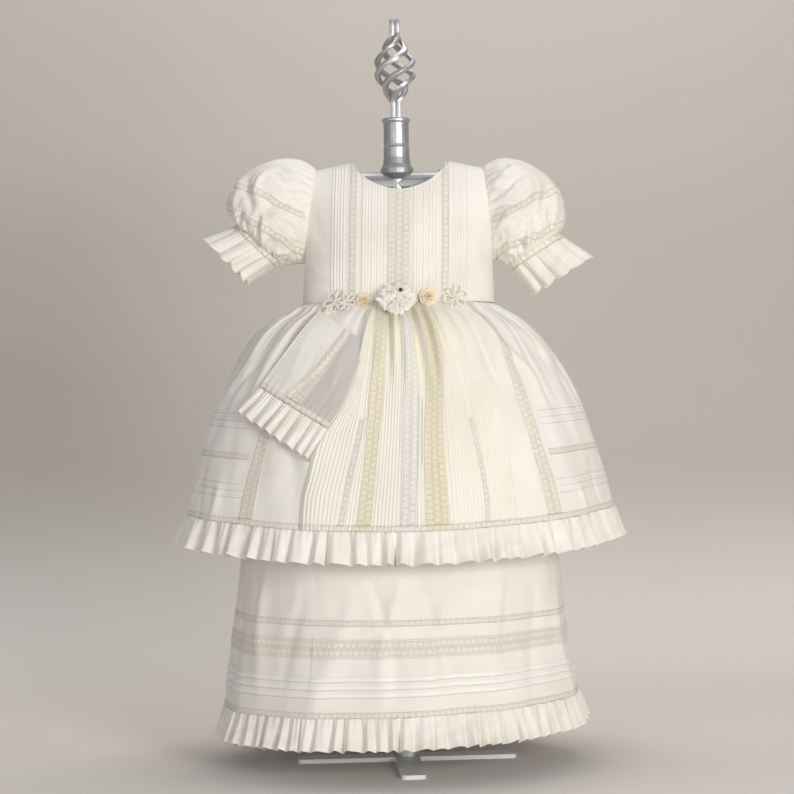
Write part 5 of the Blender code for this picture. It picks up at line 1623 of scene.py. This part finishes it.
FeatherLayer = namedtuple("FeatherLayer", "count size rise")
FEATHER_HALF_WIDTH = 0.0062
FEATHER_LAYERS = (FeatherLayer(15, 1.0, -0.0016), FeatherLayer(13, 0.80, -0.0004))
TUFTS = 52
BARBS = 110
BARB_HALF_WIDTH = 0.00032


def add_feathers(made, rng, centre, across, upward, out):
    """Adds flat cupped feathers in layers, which show at the flower's rim."""
    for number, layer in enumerate(FEATHER_LAYERS):
        for k in range(layer.count):
            turn = 2 * math.pi * (k + 0.4 * number) / layer.count + rng.uniform(-0.12, 0.12)
            reach = FEATHER_FLOWER_RADIUS * layer.size * rng.uniform(0.72, 0.86)
            along, beside = spokes(across, upward, turn)
            rows = []
            for i in range(9):
                t = i / 8
                spine = centre + along * reach * (-0.12 + 1.12 * t) + out * (layer.rise - 0.004 * t * t)
                half = FEATHER_HALF_WIDTH * layer.size * math.sin(math.pi * min(t * 0.86 + 0.12, 1)) ** 0.8
                row = []
                for j in range(7):
                    s = j / 3 - 1
                    cup = 0.0008 * (1 - s * s) - 0.0008 * rng.random()
                    row.append(spine + beside * half * s + out * cup + along * 0.0016 * abs(s) * (1 - t))
                rows.append(row)
            made.strip(rows)


def add_tufts(made, rng, centre, across, upward, out):
    """Adds tufts of fine flat barbs on a spiral over the flower, leaning out from its middle."""
    for tuft in range(TUFTS):
        root = FEATHER_FLOWER_RADIUS * 0.82 * math.sqrt((tuft + 0.5) / TUFTS)
        along, beside = spokes(across, upward, 2.4 * tuft + rng.uniform(-0.35, 0.35))
        lean = 0.80 + 0.18 * root / FEATHER_FLOWER_RADIUS
        axis = along * lean + out * math.sqrt(1 - lean * lean)
        steep = out * lean - along * math.sqrt(1 - lean * lean)
        dome = 0.0030 - 0.0030 * (root / FEATHER_FLOWER_RADIUS) ** 2
        base = centre + along * (root - 0.0030) + out * dome
        shorter = 1.15 - 0.5 * root / FEATHER_FLOWER_RADIUS
        for _ in range(BARBS):
            fan = rng.uniform(-1.9, 1.9)
            rise = rng.uniform(-0.22, 0.02)
            length = rng.uniform(0.0035, 0.0105) * shorter * (1 - 0.3 * abs(fan))
            way = axis + beside * fan + steep * rise
            way = way / np.linalg.norm(way)
            rows = []
            for i in range(4):
                t = i / 3
                here = base + way * length * t + (along * 0.25 - out * 0.30) * length * t * t
                half = BARB_HALF_WIDTH * (1 - 0.75 * t)
                rows.append([here - beside * half, here + beside * half])
            made.strip(rows)


def make_feather_flower(material):
    """Tufts of fine barbs over two layers of feathers."""
    rng = random.Random(11)
    seat, out, tall = seat_of("feather_flower")
    across, upward = frame_around(out)
    centre = seat + out * 0.45 * tall
    made = Builder()
    add_feathers(made, rng, centre, across, upward, out)
    add_tufts(made, rng, centre, across, upward, out)
    finish_piece(made.build("feather_flower", material), "feather_flower")


JET_BEAD_RADIUS = 0.0024


def make_jet_bead(material):
    """A flattened bead that sits low in the feather flower."""
    out = seat_of("feather_flower")[1]
    upward = frame_around(out)[1]
    low, high = (np.array(corner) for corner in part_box("centre_bead"))
    middle = (low + high) / 2 - upward * 0.0040 + out * 0.0008
    mesh = bpy.data.meshes.new("centre_bead")
    work = bmesh.new()
    bmesh.ops.create_icosphere(work, subdivisions=3, radius=JET_BEAD_RADIUS)
    for vertex in work.verts:
        vertex.co.y *= 0.75
        vertex.co = vertex.co + type(vertex.co)(middle)
    work.to_mesh(mesh)
    work.free()
    mesh.shade_smooth()
    bead = link(bpy.data.objects.new("centre_bead_made", mesh), material)
    finish_piece(bead, "centre_bead")


RoseRing = namedtuple("RoseRing", "count reach rise size")
ROSE_RINGS = (RoseRing(3, 0.16, 0.0052, 0.50), RoseRing(4, 0.36, 0.0040, 0.62),
              RoseRing(5, 0.62, 0.0022, 0.80), RoseRing(6, 0.90, 0.0002, 0.95))


def make_rose(name, material):
    """A rose rolled from folded ribbon: a tight heart and flared outer turns."""
    seat, out, _ = seat_of(name)
    across, upward = frame_around(out)
    centre = seat + out * 0.0024
    made = Builder()
    rng = random.Random(3)
    for number, (count, reach, rise, size) in enumerate(ROSE_RINGS):
        for k in range(count):
            turn = 2 * math.pi * (k + 0.37 * number) / count + rng.uniform(-0.2, 0.2)
            along, beside = spokes(across, upward, turn)
            wide = 0.0062 * size * rng.uniform(0.9, 1.15)
            rows = []
            shades = []
            for i in range(9):
                t = i / 8
                row = []
                for j in range(13):
                    w = j / 6 - 1
                    wrap = ROSE_RADIUS * reach * (1 - 0.35 * w * w)
                    flare = 0.0026 * t * t * (0.5 + reach) + 0.0005 * math.sin(4 * w + 3 * t + k)
                    tall = (0.0034 - 0.0008 * w * w) * size * t + 0.0004 * math.sin(5 * w + k)
                    row.append(centre + along * (wrap + flare) + beside * wide * w * (0.75 + 0.25 * t)
                               + out * (rise - 0.0022 + tall * (1.15 - 0.7 * reach)))
                rows.append(row)
                # Painted shade, deepest at the heart and at the foot of each petal
                shades.append([max(0.0, 0.95 - 1.3 * reach) * (1.1 - 0.6 * t) + 0.30 * (1 - t)] * 13)
            made.strip(rows, shades)
    item = made.build(name, material, "heart")
    solid = item.modifiers.new("ribbon", "SOLIDIFY")
    solid.thickness = 0.0003
    solid.offset = 0
    finish_piece(item, name)


def petal_path(centre, across, upward, out, radius, turn):
    """One loop of cord: a round open petal that starts and ends at the heart."""
    path = []
    for k in range(26):
        share = k / 25
        reach = radius * (0.10 + 0.90 * math.sin(math.pi * share) ** 0.75)
        angle = turn + 0.52 * math.cos(math.pi * share) * math.sin(math.pi * share) ** 0.25
        rise = 0.0010 * math.sin(math.pi * share) + 0.0004 * math.sin(2 * math.pi * share)
        path.append(centre + across * reach * math.cos(angle) + upward * reach * math.sin(angle) + out * rise)
    return path


def make_cord_flower(name, material, doubled):
    """Six loops of cord round a knot of small beads, with a second such flower beside it if doubled."""
    seat, out, tall = seat_of(name)
    across, upward = frame_around(out)
    middle = seat + out * tall / 2
    made = Builder()
    flowers = [(middle, CORD_FLOWER_RADIUS * 1.04, 0.26)]
    if doubled:
        beside = middle + across * 0.0140 + out * 0.0016 - upward * 0.0020
        flowers.append((beside, CORD_FLOWER_RADIUS * 0.80, 0.80))
    for heart, radius, start in flowers:
        for k in range(PETALS):
            reach = radius * (1 + 0.07 * math.sin(2.3 * k + start))
            turn = start + 2 * math.pi * k / PETALS
            made.tube(petal_path(heart, across, upward, out, reach, turn), CORD_RADIUS, 8)
    for k in range(9):
        turn = 2.4 * k
        reach = 0.0007 * math.sqrt(k)
        here = middle + across * reach * math.cos(turn) + upward * reach * math.sin(turn) + out * 0.0014
        made.tube([here, here + out * 0.0006, here + out * 0.0011], [0.0007, 0.0008, 0.0003], 6)
    finish_piece(made.build(name, material), name)


# A button's outline from its middle over the rim to its back: share of the radius, height
BUTTON_PROFILE = [(0.0, 0.0009), (0.30, 0.0009), (0.62, 0.0011), (0.78, 0.0016), (0.92, 0.0017),
                  (1.0, 0.0011), (0.98, 0.0002), (0.80, -0.0007), (0.0, -0.0007)]


def make_button(number, pearl):
    """A small pearl shank button with a rim and two threads across it."""
    name = f"back_button_{number}"
    low, high = (np.array(corner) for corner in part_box(name))
    x, y, z = (low + high) / 2
    made = Builder()
    rows = []
    for share, height in BUTTON_PROFILE:
        reach = max(share, 0.001) * BUTTON_RADIUS
        turns = [2 * math.pi * k / 40 for k in range(41)]
        rows.append([np.array((x - reach * math.cos(turn), y + height, z + reach * math.sin(turn)))
                     for turn in turns])
    made.strip(rows)
    for beside in (-0.0011, 0.0011):
        thread = [(x + beside, y + 0.0011, z + s * 0.0009) for s in (-1, 0, 1)]
        made.tube(thread, 0.0003, 6)
    finish_piece(made.build(name, pearl), name)


# The stand

BUNDLE_RADIUS = (ROD_SIDE + GAP) / math.sqrt(2)
ROD_POINTS = 12


def rod_row(number, z):
    """Points round one rod's square section, with its corners a little blunted."""
    inside = min(max((z - BASKET_BOTTOM_Z) / (BASKET_TOP_Z - BASKET_BOTTOM_Z), 0), 1)
    swell = math.sin(math.pi * inside) ** 1.3
    radius = BUNDLE_RADIUS + (BASKET_RADIUS - BUNDLE_RADIUS) * swell
    angle = 2 * math.pi * (number + 0.5) / BASKET_RODS + BASKET_TURN * inside
    climb = BASKET_TURN * radius / (BASKET_TOP_Z - BASKET_BOTTOM_Z)
    widen = 1 + (math.hypot(1, climb) - 1) * min(swell * 1.6, 1)
    out = np.array((math.sin(angle), -math.cos(angle), 0))
    along = np.array((math.cos(angle), math.sin(angle), 0))
    centre = out * radius + np.array((0, 0, z))
    reach = ROD_SIDE / math.sqrt(2) * (0.82 if z == STAND_TOP_Z else 1.0)
    corners = (out, along * widen, -out, -along * widen)
    row = [centre + reach * (corner * (1 - share) + after * share)
           for corner, after in zip(corners, corners[1:] + corners[:1]) for share in (0.10, 0.5, 0.90)]
    return row + row[:1]


def make_finial(pewter):
    """Four square rods, straight in a bundle, once round the open basket, and a bundle again."""
    heights = np.concatenate([[COLLAR_TOP_Z + GAP, 0.8150, 0.8210],
                              np.linspace(BASKET_BOTTOM_Z, BASKET_TOP_Z, 64),
                              [0.9160, 0.9220, STAND_TOP_Z - 0.0012, STAND_TOP_Z]])
    for number in range(BASKET_RODS):
        name = f"finial_rod_{number + 1}"
        made = Builder()
        made.strip([rod_row(number, z) for z in heights][::-1])
        last = (len(heights) - 1) * (ROD_POINTS + 1)
        made.faces.append(tuple(range(ROD_POINTS)))
        made.faces.append(tuple(last + k for k in reversed(range(ROD_POINTS))))
        item = made.build(name, pewter)
        work = bmesh.new()
        work.from_mesh(item.data)
        bmesh.ops.remove_doubles(work, verts=work.verts, dist=1e-6)
        bmesh.ops.recalc_face_normals(work, faces=work.faces)
        work.to_mesh(item.data)
        work.free()
        item.data.set_sharp_from_angle(angle=math.radians(50))
        finish_piece(item, name)


# The room

ROOM_HALF_WIDTH = 4
FLOOR_FROM_Y = -3.4
SWEEP_FROM_Y = 0.55
SWEEP_RADIUS = 0.75
BACKDROP_TOP_Z = 4.5


def make_room(finish):
    """A pale floor that sweeps up into the backdrop."""
    made = Builder()
    profile = [(FLOOR_FROM_Y, 0.0), (SWEEP_FROM_Y, 0.0)]
    for k in range(1, 13):
        turn = math.pi / 2 * k / 12
        profile.append((SWEEP_FROM_Y + SWEEP_RADIUS * math.sin(turn), SWEEP_RADIUS * (1 - math.cos(turn))))
    profile.append((SWEEP_FROM_Y + SWEEP_RADIUS, BACKDROP_TOP_Z))
    across = np.linspace(ROOM_HALF_WIDTH, -ROOM_HALF_WIDTH, 9)
    made.strip([[np.array((x, y, z)) for x in across] for y, z in profile])
    made.build("floor_and_backdrop", finish)


Light = namedtuple("Light", "name place target size energy colour")
LIGHTS = [
    Light("key", (1.45, -2.75, 0.80), (0.0, 0.0, 0.36), (1.0, 1.0), 51.5, (1.0, 0.98, 0.945)),
    Light("fill", (-1.3, -2.9, 0.50), (0.0, 0.0, 0.33), (1.6, 1.4), 19, (0.97, 0.975, 1.0)),
    Light("top", (0.5, -0.2, 2.5), (0.1, 0.1, 0.40), (1.2, 1.2), 2.5, (1.0, 0.99, 0.97)),
    Light("wall", (0.1, 0.35, 2.3), (0.0, 1.45, 0.70), (1.6, 0.8), 15, (1.0, 0.98, 0.95)),
]
SKY = (0.93, 0.95, 1.0)
SKY_STRENGTH = 0.31
CAMERA_AT = (-0.0048, -2.5, 0.456)
CAMERA_TURN = 1.0
CAMERA_LENS = 89.96


def add_light(row):
    """A rectangular lamp that faces its target."""
    light = bpy.data.lights.new(row.name, "AREA")
    light.shape = "RECTANGLE"
    light.size, light.size_y = row.size
    light.energy = row.energy
    light.color = row.colour
    item = bpy.data.objects.new(row.name, light)
    bpy.context.scene.collection.objects.link(item)
    item.location = row.place
    direction = item.location - type(item.location)(row.target)
    item.rotation_euler = direction.to_track_quat("Z", "Y").to_euler()


def make_lights():
    for row in LIGHTS:
        add_light(row)
    world = bpy.data.worlds.new("studio")
    bpy.context.scene.world = world
    world.use_nodes = True
    background = world.node_tree.nodes["Background"]
    background.inputs["Color"].default_value = (*SKY, 1.0)
    background.inputs["Strength"].default_value = SKY_STRENGTH


def make_camera():
    camera = bpy.data.cameras.new("camera")
    camera.sensor_width = 36.0
    camera.lens = CAMERA_LENS
    item = bpy.data.objects.new("camera", camera)
    bpy.context.scene.collection.objects.link(item)
    item.location = CAMERA_AT
    item.rotation_euler = (math.pi / 2, math.radians(CAMERA_TURN), 0.0)
    bpy.context.scene.camera = item


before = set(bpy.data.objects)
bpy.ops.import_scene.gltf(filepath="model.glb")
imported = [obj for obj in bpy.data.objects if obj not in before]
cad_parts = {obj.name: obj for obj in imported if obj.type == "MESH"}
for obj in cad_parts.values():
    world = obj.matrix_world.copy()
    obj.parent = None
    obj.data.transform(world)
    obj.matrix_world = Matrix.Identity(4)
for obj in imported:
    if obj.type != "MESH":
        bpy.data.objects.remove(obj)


def dress_skirts(cotton, ruffle):
    for label in GORE_EDGES:
        declare_sheet(*make_overskirt_gore(label, cotton), "gathered", ["bodice_front"])
        declare_sheet(*make_underskirt_gore(label, cotton), "gathered", [f"overskirt_{label}"])
    for form in RUFFLES:
        for number, label in enumerate(RUFFLE_EDGES):
            held_by = form.name.replace("_ruffle", f"_{label}")
            declare_sheet(*make_skirt_ruffle(form, label, ruffle, 1.0 + number), "gathered", [held_by])


def dress_bodice(cotton):
    declare_sheet(*make_bodice_front(cotton), "hung", ["stand_tee"])
    placket, points = make_placket(cotton)
    for label in ("left", "right"):
        declare_sheet(*make_bodice_back(label, cotton), "hung", ["stand_tee"])
    declare_sheet(placket, points, "laid", ["bodice_back_left", "bodice_back_right"])


def dress_sleeves(cotton, lace, ruffle):
    for label, side, rings, cuff_end in (("left", -1, SLEEVE_LEFT, CUFF_END_LEFT),
                                         ("right", 1, SLEEVE_RIGHT, CUFF_END_RIGHT)):
        sleeve, sleeve_points = make_sleeve(label, side, rings, cotton)
        band = make_sleeve_band(label, side, rings[-1], cuff_end, lace)[0]
        cuff, cuff_points = make_sleeve_ruffle(label, side, rings[-1], cuff_end, ruffle)
        declare_sheet(sleeve, sleeve_points, "gathered", ["bodice_front"], [band])
        declare_sheet(cuff, cuff_points, "gathered", [f"sleeve_{label}"])


def main():
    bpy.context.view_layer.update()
    bpy.context.scene.view_settings.view_transform = "Standard"
    make_camera()
    make_lights()
    make_room(make_backdrop("studio_paper"))

    cotton = make_cotton("ivory_cotton_cloth")
    ruffle = make_ruffle_cotton("ivory_ruffle_cloth")
    dress_skirts(cotton, ruffle)
    dress_bodice(cotton)
    pearl = make_pearl("pearl")
    for number in range(1, len(BUTTON_SHARES) + 1):
        make_button(number, pearl)
    dress_sleeves(cotton, make_lace("cream_bobbin_lace"), ruffle)
    declare_sheet(*make_side_drape(cotton), "hung", ["bodice_front"])
    declare_sheet(*make_drape_ruffle(ruffle), "gathered", ["side_drape"])

    make_feather_flower(make_feather("feather_and_tulle"))
    make_jet_bead(make_jet("jet"))
    satin = make_satin("ribbon_satin")
    for name in ROSES:
        make_rose(name, satin)
    cord = make_cord_finish("silk_cord")
    for name in CORD_FLOWERS:
        make_cord_flower(name, cord, name == "cord_flower_left")
    pewter = make_pewter("pewter", 0.85)
    paint = make_pewter("silver_paint", 0.15, 1.4)
    make_finial(pewter)
    for name in ("stand_base", "stand_post", "stand_tee", "stand_collar"):
        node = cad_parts[name]
        node.data.materials.clear()
        node.data.materials.append(paint if name == "stand_base" else pewter)


main()
